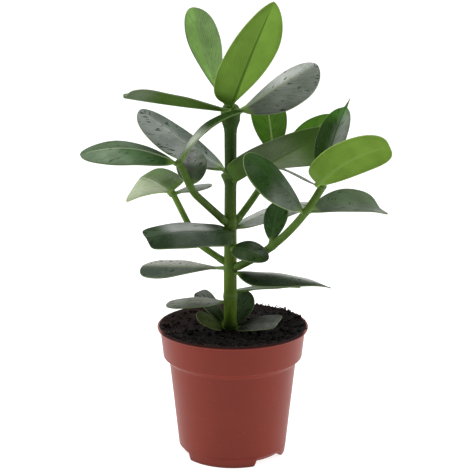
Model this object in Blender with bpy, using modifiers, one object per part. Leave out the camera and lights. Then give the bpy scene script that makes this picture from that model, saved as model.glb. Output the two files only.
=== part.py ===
"""Potted clusia: a young clusia with thirty leathery leaves, in soil in a round plastic nursery pot.

The origin is the middle of the pot's underside, Z runs up the pot's axis and the plant's front faces -Y.
Sizes below are in millimetres and angles in degrees; they become metres when a mesh is made.
Azimuths turn from +X towards +Y, and a pitch is an angle above the horizontal.
"""

import math
from dataclasses import dataclass

import bmesh
import bpy
import numpy as np
from mathutils import Matrix, Vector

MM = 0.001
GAP = 0.3  # clearance between pieces that meet

# Pot
RIM_RADIUS = 60.0
POT_HEIGHT = 105.0
WALL = 1.2
RIM_WIDTH = 1.8
RIM_ROUNDING = 0.6
LIP_HEIGHT = 2.2
BAND_TOP_RADIUS = 57.6
BAND_TOP_HEIGHT = 101.8
BAND_FOOT_RADIUS = 55.3
BAND_FOOT_HEIGHT = 80.5
BODY_TOP_RADIUS = 50.6
BODY_TOP_HEIGHT = 76.5
FOOT_RADIUS = 42.2
FOOT_FLARE_HEIGHT = 7.0
FOOT_FLARE_RADIUS = 43.2
FLOOR_RISE = 3.0
CENTRE_DISC_RADIUS = 15.0
POT_STEPS = 60
NOTCH_COUNT = 3
NOTCH_FIRST_AZIMUTH = 76.0
NOTCH_HEIGHT = 5.8
NOTCH_FOOT_WIDTH = 33.0
NOTCH_TOP_WIDTH = 26.0
NOTCH_INNER_RADIUS = 36.0
NOTCH_OUTER_RADIUS = 50.0

# Soil
SOIL_LEVEL = 100.4
SOIL_RADIUS = 56.8
SOIL_BANK = 2.6  # how much higher the soil stands at the pot's wall
SOIL_BANK_WIDTH = 16.0
SOIL_RELIEF = 0.5
SOIL_RINGS = 9
SOIL_STEPS = 48
SOIL_EDGE = 6.0  # the width over which the lumps fade out
STEM_HOLE_DEPTH = 28.0
STEM_HOLE_CLEARANCE = 0.4

# Main stem, which stands a little beside the pot's axis
STEM_X = -2.0
STEM_TOP = 281.5
STEM_NODE_HEIGHTS = (104.0, 128.0, 151.5, 188.0, 226.0, 276.0)
STEM_NODE_REACH = 4.5
STEM_NODE_SWELLING = 0.4
STEM_GIRTH = (  # pairs of height and radius
    (72.0, 5.0), (125.0, 4.9), (154.0, 4.6), (187.0, 4.4), (225.0, 4.2), (265.0, 4.2), (276.0, 5.6),
    (280.0, 5.0), (281.5, 3.4),
)
STEM_BEVEL_RESOLUTION = 4

# Side shoots
SHOOT_POINTS = 13
SHOOT_BEVEL_RESOLUTION = 3
SHOOT_START = 0.7  # of the stem's radius: how far out from its axis the shoot starts, before it is cut clear
CLEARANCE_REACH = 20.0  # of that cut, above and below the shoot's start

# Leaves
BLADE_THICKNESS = 1.0
PETIOLE_HALF_WIDTH = 2.0
PETIOLE_CLEARANCE = 0.42  # of the petiole's nearest corner from its stem
PETIOLE_SHARE = 0.16
SPIKE_HALF_WIDTH = 2.2
FOLD_SOFTNESS = 2.0  # square millimetres that round off the crease along the midrib
LONG_LEAF = 45.0
LONG_LEAF_ROWS = 12
SHORT_LEAF_ROWS = 8
LEAF_COLUMNS = 4
END_CROWDING = 0.35  # how far the rows crowd towards a blade's ends

UPPER_GREEN = (0.055, 0.085, 0.05)
MIDDLE_GREEN = (0.07, 0.14, 0.035)
YOUNG_GREEN = (0.14, 0.26, 0.04)
STEM_GREEN = (0.07, 0.13, 0.02)
SHOOT_GREEN = (0.13, 0.2, 0.045)
PEAT_BROWN = (0.012, 0.008, 0.006)
TERRACOTTA = (0.24, 0.055, 0.035)


@dataclass(frozen=True)
class Shoot:
    """A side shoot: it leaves the main stem at a height and steepens from its first pitch to its last.

    The stretches of straight_base and straight_tip at its ends are straight, and it bends evenly
    between them.
    """

    name: str
    height: float
    azimuth: float
    first_pitch: float
    last_pitch: float
    length: float
    base_radius: float
    tip_radius: float
    straight_base: float = 0.0
    straight_tip: float = 0.0


@dataclass(frozen=True)
class Leaf:
    """A leaf: an obovate blade that narrows to a flat stalk, along a bowed midrib.

    at is its height on the main stem, or its distance along a shoot. widest is the share of the
    length where the blade is widest, and roundness says how blunt its tip is. A positive fold
    raises the two halves beside the midrib. arch and sway bow the midrib towards the upper face and
    towards the leaf's left, hook bends the tip down, roll turns the blade about its length, and
    twist turns it further from base to tip. seat is the side of the stem that the leaf grows from,
    where that differs from its azimuth. skew widens the left half by that share and narrows the
    right one, and slant moves the left half's widest place outwards and the right one's inwards.
    point is the share of the length that is a narrow spike.
    """

    name: str
    stem: str
    at: float
    azimuth: float
    pitch: float
    length: float
    width: float
    widest: float = 0.6
    roundness: float = 0.5
    fold: float = 8.0
    arch: float = 0.0
    sway: float = 0.0
    hook: float = 0.0
    roll: float = 0.0
    twist: float = 0.0
    seat: float | None = None
    skew: float = 0.0
    slant: float = 0.0
    point: float = 0.0
    colour: tuple[float, float, float] = UPPER_GREEN


MAIN_STEM = "main_stem"
FRONT_LEFT = Shoot("side_shoot_front_left", 188, 218, 41, 62.5, 73, 3.0, 2.7, 37, 24)
BACK_LEFT = Shoot("side_shoot_back_left", 155, 158, 29, 61, 75, 2.6, 2.4, 23, 43)
BACK_RIGHT = Shoot("side_shoot_back_right", 186.5, 37, 41, 55, 67, 2.8, 2.4)
FRONT_RIGHT = Shoot("side_shoot_front_right", 151.8, 325, 26, 61, 113, 3.1, 2.9)
SHOOTS = {shoot.name: shoot for shoot in (FRONT_LEFT, BACK_LEFT, BACK_RIGHT, FRONT_RIGHT)}

CROWN_LEAVES = (
    Leaf(
        "leaf_crown_front", MAIN_STEM, 280.6, 323, 64, 88, 39, widest=0.44, roundness=0.7,
        fold=12, arch=-3, sway=-2, roll=-40, seat=280, slant=0.16, colour=YOUNG_GREEN,
    ),
    Leaf(
        "leaf_crown_back", MAIN_STEM, 281, 141, 67, 77.5, 40, widest=0.72, fold=14, arch=-3,
        sway=3, slant=0.02, colour=MIDDLE_GREEN,
    ),
)

MAIN_STEM_LEAVES = (
    Leaf(
        "leaf_1_right", MAIN_STEM, 275.5, 30, 24, 77, 30.5, widest=0.64, fold=-12, arch=2,
        roll=44, skew=-0.34, slant=0.08,
    ),
    Leaf(
        "leaf_1_left", MAIN_STEM, 277.5, 203, 9, 83, 27, widest=0.76, roundness=0.26, fold=28,
        arch=-1, roll=14, seat=255,
    ),
    Leaf(
        "leaf_2_left", MAIN_STEM, 229, 148, 27, 90, 30, widest=0.58, fold=-6,
        arch=-1, roll=-25, skew=0.15,
    ),
    Leaf(
        "leaf_2_right", MAIN_STEM, 222, 343, 30, 86.5, 38, widest=0.5, fold=16, arch=-1,
        roll=-50, twist=-45, seat=310, skew=0.1, slant=0.3, colour=MIDDLE_GREEN,
    ),
    Leaf(
        "leaf_3_left", MAIN_STEM, 181.2, 210, 5.5, 72, 29, widest=0.5, roundness=0.12, fold=-18,
        arch=2, hook=3, roll=-24, seat=268,
    ),
    Leaf("leaf_3_right", MAIN_STEM, 183, 33, 8.5, 76, 24, widest=0.5, fold=-6, arch=4, roll=8),
    Leaf("leaf_4_left", MAIN_STEM, 150.5, 150, -6.5, 78, 34, widest=0.75, fold=-5, roll=-14),
    Leaf(
        "leaf_4_right", MAIN_STEM, 148, 328, 0, 84, 35, widest=0.4, roundness=1.6, fold=-12,
        arch=3, roll=4, slant=0.02,
    ),
    Leaf(
        "leaf_stem_small", MAIN_STEM, 168.5, 315, -2, 37, 19, widest=0.5, fold=-8,
        arch=5, hook=2, roll=42, seat=290,
    ),
    Leaf("leaf_5_left", MAIN_STEM, 124, 210, 4, 51, 19, widest=0.6, fold=6, arch=2, roll=-10),
    Leaf("leaf_5_right", MAIN_STEM, 131, 28, -4, 58, 28, widest=0.5, fold=6, arch=2, roll=-10),
    Leaf(
        "leaf_6_left", MAIN_STEM, 103, 140, 41, 35, 17, widest=0.76, roundness=0.2, fold=4,
        arch=2, roll=-10,
    ),
    Leaf(
        "leaf_6_right", MAIN_STEM, 102, 325, 18, 42, 21, widest=0.74, roundness=0.18, fold=4,
        arch=2, roll=22,
    ),
    Leaf(
        "leaf_7_left", MAIN_STEM, 102.5, 215, 28, 28.5, 18.5, widest=0.62, roundness=0.4,
        fold=4, arch=2, roll=-34,
    ),
    Leaf("leaf_7_right", MAIN_STEM, 103, 55, 60, 29, 22, fold=4, arch=2, roll=20),
)

FRONT_LEFT_LEAVES = (
    Leaf(
        "leaf_fl_left", FRONT_LEFT.name, 72, 195, 7, 71, 33, widest=0.56, fold=-11, arch=9,
        roll=-24, colour=MIDDLE_GREEN,
    ),
    Leaf(
        "leaf_fl_right", FRONT_LEFT.name, 72, 15, 35, 59, 22, fold=20, arch=6,
        colour=MIDDLE_GREEN,
    ),
    Leaf("leaf_fl_back", FRONT_LEFT.name, 48, 90, 42, 34, 24, widest=0.5, fold=4, arch=3),
)

BACK_LEFT_LEAVES = (
    Leaf(
        "leaf_bl_left", BACK_LEFT.name, 73, 137, 13, 35, 43, widest=0.6, roundness=0.12,
        fold=-10, arch=4, roll=-35, skew=0.1, slant=0.3, colour=YOUNG_GREEN,
    ),
    Leaf("leaf_bl_right", BACK_LEFT.name, 71, 20, 9, 30, 16, fold=0, arch=1, roll=4),
)

BACK_RIGHT_LEAVES = (
    Leaf(
        "leaf_br_left", BACK_RIGHT.name, 65.5, 104, 60, 52, 30, widest=0.62, fold=6,
        arch=2, colour=MIDDLE_GREEN,
    ),
    Leaf(
        "leaf_br_right", BACK_RIGHT.name, 66, 25, 34, 57, 34, fold=6,
        arch=2, roll=10, colour=MIDDLE_GREEN,
    ),
    Leaf("leaf_br_low", BACK_RIGHT.name, 58, 325, -17, 37, 24, fold=0, arch=1, roll=-20),
)

FRONT_RIGHT_LEAVES = (
    Leaf("leaf_fr_small", FRONT_RIGHT.name, 42, 65, 60, 33, 20, fold=6, arch=2),
    Leaf(
        "leaf_fr_left", FRONT_RIGHT.name, 85, 219, 38, 72, 35, widest=0.6, fold=-8, arch=4,
        sway=-1, roll=-58,
    ),
    Leaf(
        "leaf_fr_right", FRONT_RIGHT.name, 86, 30, -4, 64.5, 35, widest=0.74, roundness=0.22,
        fold=14, arch=5, roll=22,
    ),
    Leaf(
        "leaf_fr_top_front", FRONT_RIGHT.name, 112, 322, 29.5, 69, 29.5, widest=0.5,
        roundness=0.3, fold=8, arch=2, sway=-4, roll=-68, seat=225, skew=-0.08, slant=0.15,
        colour=YOUNG_GREEN,
    ),
    Leaf(
        "leaf_fr_top_back", FRONT_RIGHT.name, 111.5, 44, 64, 66.5, 26, widest=0.58,
        roundness=0.55, fold=10, arch=4, roll=10, skew=0.15, point=0.12,
    ),
)

LEAVES = (
    CROWN_LEAVES + MAIN_STEM_LEAVES + FRONT_LEFT_LEAVES + BACK_LEFT_LEAVES + BACK_RIGHT_LEAVES
    + FRONT_RIGHT_LEAVES
)


def clear_scene():
    for scene_object in list(bpy.data.objects):
        bpy.data.objects.remove(scene_object)


def new_collection(name):
    collection = bpy.data.collections.new(name)
    bpy.context.scene.collection.children.link(collection)
    return collection


def make_material(name, colour, roughness):
    """A Principled material with one linear colour."""
    material = bpy.data.materials.new(name)
    material.use_nodes = True
    shader = material.node_tree.nodes["Principled BSDF"]
    shader.inputs["Base Color"].default_value = (*colour, 1.0)
    shader.inputs["Roughness"].default_value = roughness
    shader.inputs["Metallic"].default_value = 0.0
    return material


def place_mesh(name, mesh, collection, material):
    placed = bpy.data.objects.new(name, mesh)
    placed.data.materials.append(material)
    collection.objects.link(placed)
    return placed


def turned(name, profile, steps, collection, material):
    """A Screw of a profile of (radius, height) pairs about Z; the profile runs down its outer side."""
    mesh = bpy.data.meshes.new(name)
    points = [(radius * MM, 0.0, height * MM) for radius, height in profile]
    mesh.from_pydata(points, [(i, i + 1) for i in range(len(points) - 1)], [])
    piece = place_mesh(name, mesh, collection, material)
    screw = piece.modifiers.new("turn", "SCREW")
    screw.steps = steps
    screw.render_steps = steps
    screw.use_merge_vertices = True
    screw.merge_threshold = 0.00001
    return piece


def freeze(piece):
    """Replaces a mesh or curve object by the mesh that it evaluates to, with coincident points welded."""
    graph = bpy.context.evaluated_depsgraph_get()
    mesh = bpy.data.meshes.new_from_object(piece.evaluated_get(graph))
    work = bmesh.new()
    work.from_mesh(mesh)
    bmesh.ops.remove_doubles(work, verts=work.verts, dist=0.01 * MM)
    work.to_mesh(mesh)
    work.free()
    frozen = bpy.data.objects.new("frozen", mesh)
    frozen.matrix_world = piece.matrix_world
    piece.users_collection[0].objects.link(frozen)
    name = piece.name
    bpy.data.objects.remove(piece)
    frozen.name = name
    return frozen


def cut(piece, cutter):
    """Adds an exact Boolean that takes the cutter's shape out of the piece."""
    cutter.hide_render = True
    cutter.display_type = "WIRE"
    boolean = piece.modifiers.new("cut " + cutter.name, "BOOLEAN")
    boolean.operation = "DIFFERENCE"
    boolean.solver = "EXACT"
    boolean.object = cutter


def cylinder(name, radius, bottom, top, collection):
    """A plain upright cylinder round the main stem's axis."""
    mesh = bpy.data.meshes.new(name)
    work = bmesh.new()
    place = Matrix.Translation((STEM_X * MM, 0.0, (bottom + top) / 2 * MM))
    bmesh.ops.create_cone(
        work, cap_ends=True, segments=24, radius1=radius * MM, radius2=radius * MM,
        depth=(top - bottom) * MM, matrix=place,
    )
    work.to_mesh(mesh)
    work.free()
    piece = bpy.data.objects.new(name, mesh)
    collection.objects.link(piece)
    return piece


def pot_profile():
    """The pot's section: over the inner floor to the wall, up to the rim, and down outside to the base."""
    inner_floor = FLOOR_RISE + WALL
    rim_inside = RIM_RADIUS - RIM_WIDTH
    inside = [
        (0.0, WALL),
        (CENTRE_DISC_RADIUS - WALL, WALL),
        (CENTRE_DISC_RADIUS, inner_floor),
        (FOOT_RADIUS - WALL, inner_floor),
        (FOOT_FLARE_RADIUS - WALL, FOOT_FLARE_HEIGHT),
        (BODY_TOP_RADIUS - WALL, BODY_TOP_HEIGHT),
        (BAND_FOOT_RADIUS - WALL, BAND_FOOT_HEIGHT),
        (BAND_TOP_RADIUS - WALL, BAND_TOP_HEIGHT),
        (rim_inside, POT_HEIGHT - RIM_ROUNDING),
        (rim_inside + RIM_ROUNDING, POT_HEIGHT),
    ]
    outside = [
        (RIM_RADIUS - RIM_ROUNDING, POT_HEIGHT),
        (RIM_RADIUS, POT_HEIGHT - RIM_ROUNDING),
        (RIM_RADIUS - 0.2, POT_HEIGHT - LIP_HEIGHT),
        (BAND_TOP_RADIUS, BAND_TOP_HEIGHT),
        (BAND_FOOT_RADIUS, BAND_FOOT_HEIGHT),
        (BODY_TOP_RADIUS, BODY_TOP_HEIGHT),
        (FOOT_FLARE_RADIUS, FOOT_FLARE_HEIGHT),
        (FOOT_RADIUS, 0.0),
        (FOOT_RADIUS - WALL, 0.0),
        (FOOT_RADIUS - WALL, FLOOR_RISE),
        (CENTRE_DISC_RADIUS, FLOOR_RISE),
        (CENTRE_DISC_RADIUS, 0.0),
        (0.0, 0.0),
    ]
    return inside + outside


def notch_cutter(index, collection):
    """A block that is wider at its foot, set over the pot's foot ring on the outer end of its azimuth."""
    name = f"notch_cutter_{index + 1}"
    azimuth = math.radians(NOTCH_FIRST_AZIMUTH + 360.0 / NOTCH_COUNT * index)
    middle = (NOTCH_INNER_RADIUS + NOTCH_OUTER_RADIUS) / 2
    mesh = bpy.data.meshes.new(name)
    work = bmesh.new()
    bmesh.ops.create_cube(work, size=1.0)
    for vertex in work.verts:
        high = vertex.co.z > 0
        vertex.co.x *= (NOTCH_OUTER_RADIUS - NOTCH_INNER_RADIUS) * MM
        vertex.co.y *= (NOTCH_TOP_WIDTH if high else NOTCH_FOOT_WIDTH) * MM
        vertex.co.z = (NOTCH_HEIGHT if high else 0.0) * MM
    work.to_mesh(mesh)
    work.free()
    block = bpy.data.objects.new(name, mesh)
    block.location = Vector((math.cos(azimuth), math.sin(azimuth), 0.0)) * middle * MM
    block.rotation_euler.z = azimuth
    collection.objects.link(block)
    return block


def build_pot(collection, cutters):
    pot = turned("pot", pot_profile(), POT_STEPS, collection, make_material("pot", TERRACOTTA, 0.45))
    for index in range(NOTCH_COUNT):
        cut(pot, notch_cutter(index, cutters))


def soil_bank(radius):
    """How far the soil stands over its level at a radius, in millimetres: it slopes up to the pot's wall."""
    return SOIL_BANK * np.clip(1.0 - (SOIL_RADIUS - radius) / SOIL_BANK_WIDTH, 0.0, 1.0) ** 2


def soil_lumps(x, y):
    """The height of the soil's lumps, in millimetres; they fade out at the pot's wall."""
    waves = np.sin(0.21 * x + 1.3) * np.cos(0.17 * y) + 0.6 * np.sin(0.43 * y + 0.31 * x)
    return SOIL_RELIEF * waves * np.clip((SOIL_RADIUS - np.hypot(x, y)) / SOIL_EDGE, 0.0, 1.0)


def build_soil(collection, cutters):
    """The fill: its sides follow the pot's inner wall, and its top is gently uneven."""
    side = WALL + GAP
    surface = [
        (radius, SOIL_LEVEL + soil_bank(radius)) for radius in np.linspace(0.0, SOIL_RADIUS, SOIL_RINGS)
    ]
    sides = [
        (BAND_TOP_RADIUS - side, BAND_TOP_HEIGHT),
        (BAND_FOOT_RADIUS - side, BAND_FOOT_HEIGHT),
        (BODY_TOP_RADIUS - side, BODY_TOP_HEIGHT),
        (FOOT_FLARE_RADIUS - side, FOOT_FLARE_HEIGHT),
        (FOOT_RADIUS - side, FLOOR_RISE + side),
        (0.0, FLOOR_RISE + side),
    ]
    material = make_material("soil", PEAT_BROWN, 0.95)
    soil = freeze(turned("soil", surface + sides, SOIL_STEPS, collection, material))
    for vertex in soil.data.vertices:
        if vertex.co.z > (SOIL_LEVEL - 1.0) * MM:
            vertex.co.z += soil_lumps(vertex.co.x / MM, vertex.co.y / MM) * MM
    bottom = SOIL_LEVEL - STEM_HOLE_DEPTH - GAP
    hole = cylinder("stem_hole", STEM_GIRTH[0][1] + STEM_HOLE_CLEARANCE, bottom, POT_HEIGHT, cutters)
    cut(soil, hole)


def stem_radius(height):
    """The main stem's radius at a height, swollen a little where leaves grow."""
    heights, radii = zip(*STEM_GIRTH)
    plain = np.interp(height, heights, radii)
    nearest = min(abs(height - node) for node in STEM_NODE_HEIGHTS)
    return float(plain + STEM_NODE_SWELLING * max(0.0, 1.0 - nearest / STEM_NODE_REACH))


def tube(name, points, radii, resolution, collection, material):
    """A round stem as a mesh, swept through points with a radius at each."""
    curve = bpy.data.curves.new(name, "CURVE")
    curve.dimensions = "3D"
    curve.bevel_depth = MM
    curve.bevel_resolution = resolution
    curve.use_fill_caps = True
    spline = curve.splines.new("POLY")
    spline.points.add(len(points) - 1)
    for knot, place, radius in zip(spline.points, points, radii):
        knot.co = (*(place * MM), 1.0)
        knot.radius = radius
    return freeze(place_mesh(name, curve, collection, material))


def build_main_stem(collection):
    foot = SOIL_LEVEL - STEM_HOLE_DEPTH
    heights = {foot, SOIL_LEVEL - 2 * STEM_NODE_REACH, STEM_GIRTH[-2][0], STEM_TOP}
    for node in STEM_NODE_HEIGHTS:
        heights |= {node - STEM_NODE_REACH, node, node + STEM_NODE_REACH}
    heights = sorted(height for height in heights if height <= STEM_TOP)
    points = [np.array((STEM_X, 0.0, height)) for height in heights]
    radii = [stem_radius(height) for height in heights]
    material = make_material(MAIN_STEM, STEM_GREEN, 0.45)
    tube(MAIN_STEM, points, radii, STEM_BEVEL_RESOLUTION, collection, material)


def heading(azimuth, pitch):
    """The unit vector of an azimuth and a pitch in degrees."""
    turn, rise = math.radians(azimuth), math.radians(pitch)
    return np.array((math.cos(rise) * math.cos(turn), math.cos(rise) * math.sin(turn), math.sin(rise)))


def shoot_radius(shoot, distance):
    return shoot.base_radius + (shoot.tip_radius - shoot.base_radius) * distance / shoot.length


def shoot_place(shoot, distance):
    """The shoot's centre and its heading at a distance along it.

    Its pitch grows evenly between the straight ends, so the way out and up there is the integral of
    the pitch's cosine and sine.
    """
    first, last = math.radians(shoot.first_pitch), math.radians(shoot.last_pitch)
    start, stop = shoot.straight_base, shoot.length - shoot.straight_tip
    bend = (last - first) / (stop - start)
    before, after = min(distance, start), max(distance - stop, 0.0)
    pitch = first + bend * (min(max(distance, start), stop) - start)
    out = before * math.cos(first) + (math.sin(pitch) - math.sin(first)) / bend + after * math.cos(last)
    out += SHOOT_START * stem_radius(shoot.height)
    up = before * math.sin(first) + (math.cos(first) - math.cos(pitch)) / bend + after * math.sin(last)
    level = heading(shoot.azimuth, 0.0)
    place = np.array((STEM_X, 0.0, shoot.height)) + level * out + np.array((0.0, 0.0, up))
    return place, heading(shoot.azimuth, math.degrees(pitch))


def build_shoot(shoot, collection, cutters):
    """A shoot, swept from inside the main stem and cut clear of it."""
    distances = np.linspace(0.0, shoot.length, SHOOT_POINTS)
    points = [shoot_place(shoot, distance)[0] for distance in distances]
    radii = [shoot_radius(shoot, distance) for distance in distances]
    material = make_material(shoot.name, SHOOT_GREEN, 0.45)
    stem = tube(shoot.name, points, radii, SHOOT_BEVEL_RESOLUTION, collection, material)
    bottom, top = shoot.height - CLEARANCE_REACH, shoot.height + CLEARANCE_REACH
    clearance = cylinder("clearance_" + shoot.name, stem_radius(shoot.height) + GAP, bottom, top, cutters)
    cut(stem, clearance)


def midrib(leaf, t):
    """The way along the midrib and the blade's left and upper side, at shares t of its length."""
    forward = heading(leaf.azimuth, leaf.pitch)
    level = heading(leaf.azimuth + 90.0, 0.0)
    above = np.cross(forward, level)
    roll = math.radians(leaf.roll)
    left = level * math.cos(roll) + above * math.sin(roll)
    upper = above * math.cos(roll) - level * math.sin(roll)
    bow = leaf.arch * upper + leaf.sway * left
    t = t[:, None]
    way = leaf.length * t * forward + 4 * t * (1 - t) * bow - leaf.hook * t**4 * upper
    tangent = leaf.length * forward + (4 - 8 * t) * bow - 4 * leaf.hook * t**3 * upper
    tangent /= np.linalg.norm(tangent, axis=1, keepdims=True)
    sideways = left - (tangent @ left)[:, None] * tangent
    sideways /= np.linalg.norm(sideways, axis=1, keepdims=True)
    raised = np.cross(tangent, sideways)
    twist = math.radians(leaf.twist) * t
    return (
        way,
        sideways * np.cos(twist) + raised * np.sin(twist),
        raised * np.cos(twist) - sideways * np.sin(twist),
    )


def leaf_base(leaf):
    """Where the midrib starts: just far enough out that the petiole's corners clear the round stem.

    A corner p off the midrib clears a stem of radius r, with its clearance included, when the
    midrib starts at least sqrt(r^2 - |p|^2 + (p.o)^2) - p.o from the stem's axis along the outward
    direction o, where p is taken square to the axis.
    """
    side = leaf.azimuth if leaf.seat is None else leaf.seat
    if leaf.stem == MAIN_STEM:
        centre, along = np.array((STEM_X, 0.0, leaf.at)), np.array((0.0, 0.0, 1.0))
        radius, outwards = stem_radius(leaf.at), heading(side, 0.0)
    else:
        shoot = SHOOTS[leaf.stem]
        centre, along = shoot_place(shoot, leaf.at)
        radius, outwards = shoot_radius(shoot, leaf.at), heading(side, leaf.pitch)
        outwards = outwards - outwards @ along * along
        outwards /= np.linalg.norm(outwards)
    _, sideways, raised = midrib(leaf, np.zeros(1))
    reach = 0.0
    for across in (-PETIOLE_HALF_WIDTH, 0.0, PETIOLE_HALF_WIDTH):
        for rise in (-BLADE_THICKNESS / 2, BLADE_THICKNESS / 2):
            corner = across * sideways[0] + rise * raised[0]
            corner = corner - corner @ along * along
            out = corner @ outwards
            clear = (radius + PETIOLE_CLEARANCE) ** 2 - corner @ corner + out**2
            reach = max(reach, math.sqrt(clear) - out)
    return centre + reach * outwards


def half_width(leaf, t, side):
    """Half the blade's width at the share t of its length, on the side that side's sign tells.

    It is t^a (1-t)^b, scaled to peak at the widest place, with the flat stalk as its least value
    near the base and the spike as its least value near the tip.
    """
    widest = np.clip(leaf.widest + leaf.slant * np.sign(side), 0.1, 0.9)
    b = leaf.roundness
    a = b * widest / (1.0 - widest)
    peak = widest**a * (1.0 - widest) ** b
    body = np.clip(t / (1.0 - leaf.point), 0.0, 1.0)
    width = body**a * (1.0 - body) ** b / peak * leaf.width / 2
    if leaf.point:
        width = np.maximum(width, SPIKE_HALF_WIDTH * np.clip((1.0 - t) / leaf.point / 1.6, 0.0, 1.0))
    return np.maximum(width, PETIOLE_HALF_WIDTH * np.sqrt(np.clip(1.0 - t / PETIOLE_SHARE, 0.0, 1.0)))


def blade_points(leaf, t, across):
    """Points of the blade's middle surface, for shares t of its length and places across it (-1 to 1)."""
    way, sideways, raised = midrib(leaf, t)
    t, across = t[:, None], across[:, None]
    width = half_width(leaf, t, across) * across * (1 + leaf.skew * np.sign(across))
    fold = math.radians(leaf.fold)
    lift = math.sin(fold) * (np.sqrt(width**2 + FOLD_SOFTNESS) - math.sqrt(FOLD_SOFTNESS))
    return leaf_base(leaf) + way + width * math.cos(fold) * sideways + lift * raised


def build_leaf(leaf, collection):
    """A grid moved onto the blade's surface, split into triangles and thickened."""
    rows = LONG_LEAF_ROWS if leaf.length > LONG_LEAF else SHORT_LEAF_ROWS
    mesh = bpy.data.meshes.new(leaf.name)
    work = bmesh.new()
    bmesh.ops.create_grid(work, x_segments=rows, y_segments=LEAF_COLUMNS, size=1.0)
    flat = np.array([vertex.co[:2] for vertex in work.verts])
    share = (flat[:, 0] + 1.0) / 2
    crowded = (1.0 - np.cos(math.pi * share)) / 2
    t = share + (crowded - share) * END_CROWDING
    for vertex, place in zip(work.verts, blade_points(leaf, t, flat[:, 1])):
        vertex.co = place * MM
    bmesh.ops.remove_doubles(work, verts=work.verts, dist=0.05 * MM)
    bmesh.ops.triangulate(work, faces=work.faces)
    work.to_mesh(mesh)
    work.free()
    mesh.shade_smooth()
    blade = place_mesh(leaf.name, mesh, collection, make_material(leaf.name, leaf.colour, 0.4))
    thicken = blade.modifiers.new("thickness", "SOLIDIFY")
    thicken.thickness = BLADE_THICKNESS * MM
    thicken.offset = 0.0


def main():
    clear_scene()
    parts = new_collection("potted_clusia")
    cutters = new_collection("cutters")
    build_pot(parts, cutters)
    build_soil(parts, cutters)
    build_main_stem(parts)
    for shoot in SHOOTS.values():
        build_shoot(shoot, parts, cutters)
    for leaf in LEAVES:
        build_leaf(leaf, parts)


main()
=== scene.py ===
"""Potted clusia: the looks of a young clusia that stands in peat in a terracotta-coloured nursery pot.

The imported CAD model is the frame. Each leaf, stem, the soil and the pot are made again here as finer
surfaces in the same places. Sizes are in millimetres and angles in degrees, and they become metres
when a mesh is made. Azimuths turn from +X towards +Y, and the plant's front faces -Y.
"""

import logging
import math
from dataclasses import KW_ONLY, dataclass, field
from enum import Enum
from typing import Any, Union

import bmesh
import bpy
import numpy as np
from mathutils import Matrix, Vector

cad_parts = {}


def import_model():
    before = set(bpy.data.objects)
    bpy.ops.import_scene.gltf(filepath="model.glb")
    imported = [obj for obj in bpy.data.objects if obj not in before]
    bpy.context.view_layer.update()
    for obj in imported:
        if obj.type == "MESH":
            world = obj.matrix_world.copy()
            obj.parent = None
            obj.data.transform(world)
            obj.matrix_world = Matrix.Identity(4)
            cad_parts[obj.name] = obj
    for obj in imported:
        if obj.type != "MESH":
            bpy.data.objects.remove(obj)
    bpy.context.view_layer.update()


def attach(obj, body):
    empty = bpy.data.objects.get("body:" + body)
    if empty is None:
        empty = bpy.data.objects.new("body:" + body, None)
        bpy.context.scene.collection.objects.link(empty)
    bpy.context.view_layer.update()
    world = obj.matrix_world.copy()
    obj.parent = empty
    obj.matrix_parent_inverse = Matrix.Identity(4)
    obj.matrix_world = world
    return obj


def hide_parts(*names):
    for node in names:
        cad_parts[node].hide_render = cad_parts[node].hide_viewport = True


MM = 0.001
Colour = tuple[float, float, float]
Scalar = Union["Value", float]
log = logging.getLogger("potted_clusia")


# Shader building blocks


class Value:
    """A shader number that takes part in Python arithmetic and adds a Math node for each step."""

    def __init__(self, shader: "Shader", socket: bpy.types.NodeSocket) -> None:
        """Wraps an output socket of one of the shader's nodes."""
        self.shader, self.socket = shader, socket

    def step(self, operation: str, *numbers: Scalar) -> "Value":
        """The result of one Math node, from its operation and its inputs in order."""
        return self.shader.value("ShaderNodeMath", dict(enumerate(numbers)), operation=operation)

    def __add__(self, other: Scalar) -> "Value":
        """This number plus another."""
        return self.step("ADD", self, other)

    __radd__ = __add__

    def __sub__(self, other: Scalar) -> "Value":
        """This number less another."""
        return self.step("SUBTRACT", self, other)

    def __rsub__(self, other: Scalar) -> "Value":
        """Another number less this one."""
        return self.step("SUBTRACT", other, self)

    def __mul__(self, other: Scalar) -> "Value":
        """This number times another."""
        return self.step("MULTIPLY", self, other)

    __rmul__ = __mul__

    def __abs__(self) -> "Value":
        """This number without its sign."""
        return self.step("ABSOLUTE", self)

    def sine(self) -> "Value":
        """The sine of this number of radians."""
        return self.step("SINE", self)

    def most(self, other: Scalar) -> "Value":
        """The larger of this number and another."""
        return self.step("MAXIMUM", self, other)

    def rise(self, low: float, high: float) -> "Value":
        """A smooth step: 0 before low and 1 after high, or the other way round where low is above high."""
        ends = {1: high, 2: low, 3: 1.0, 4: 0.0} if low > high else {1: low, 2: high, 3: 0.0, 4: 1.0}
        return self.shader.value("ShaderNodeMapRange", {0: self, **ends}, interpolation_type="SMOOTHSTEP")


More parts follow.
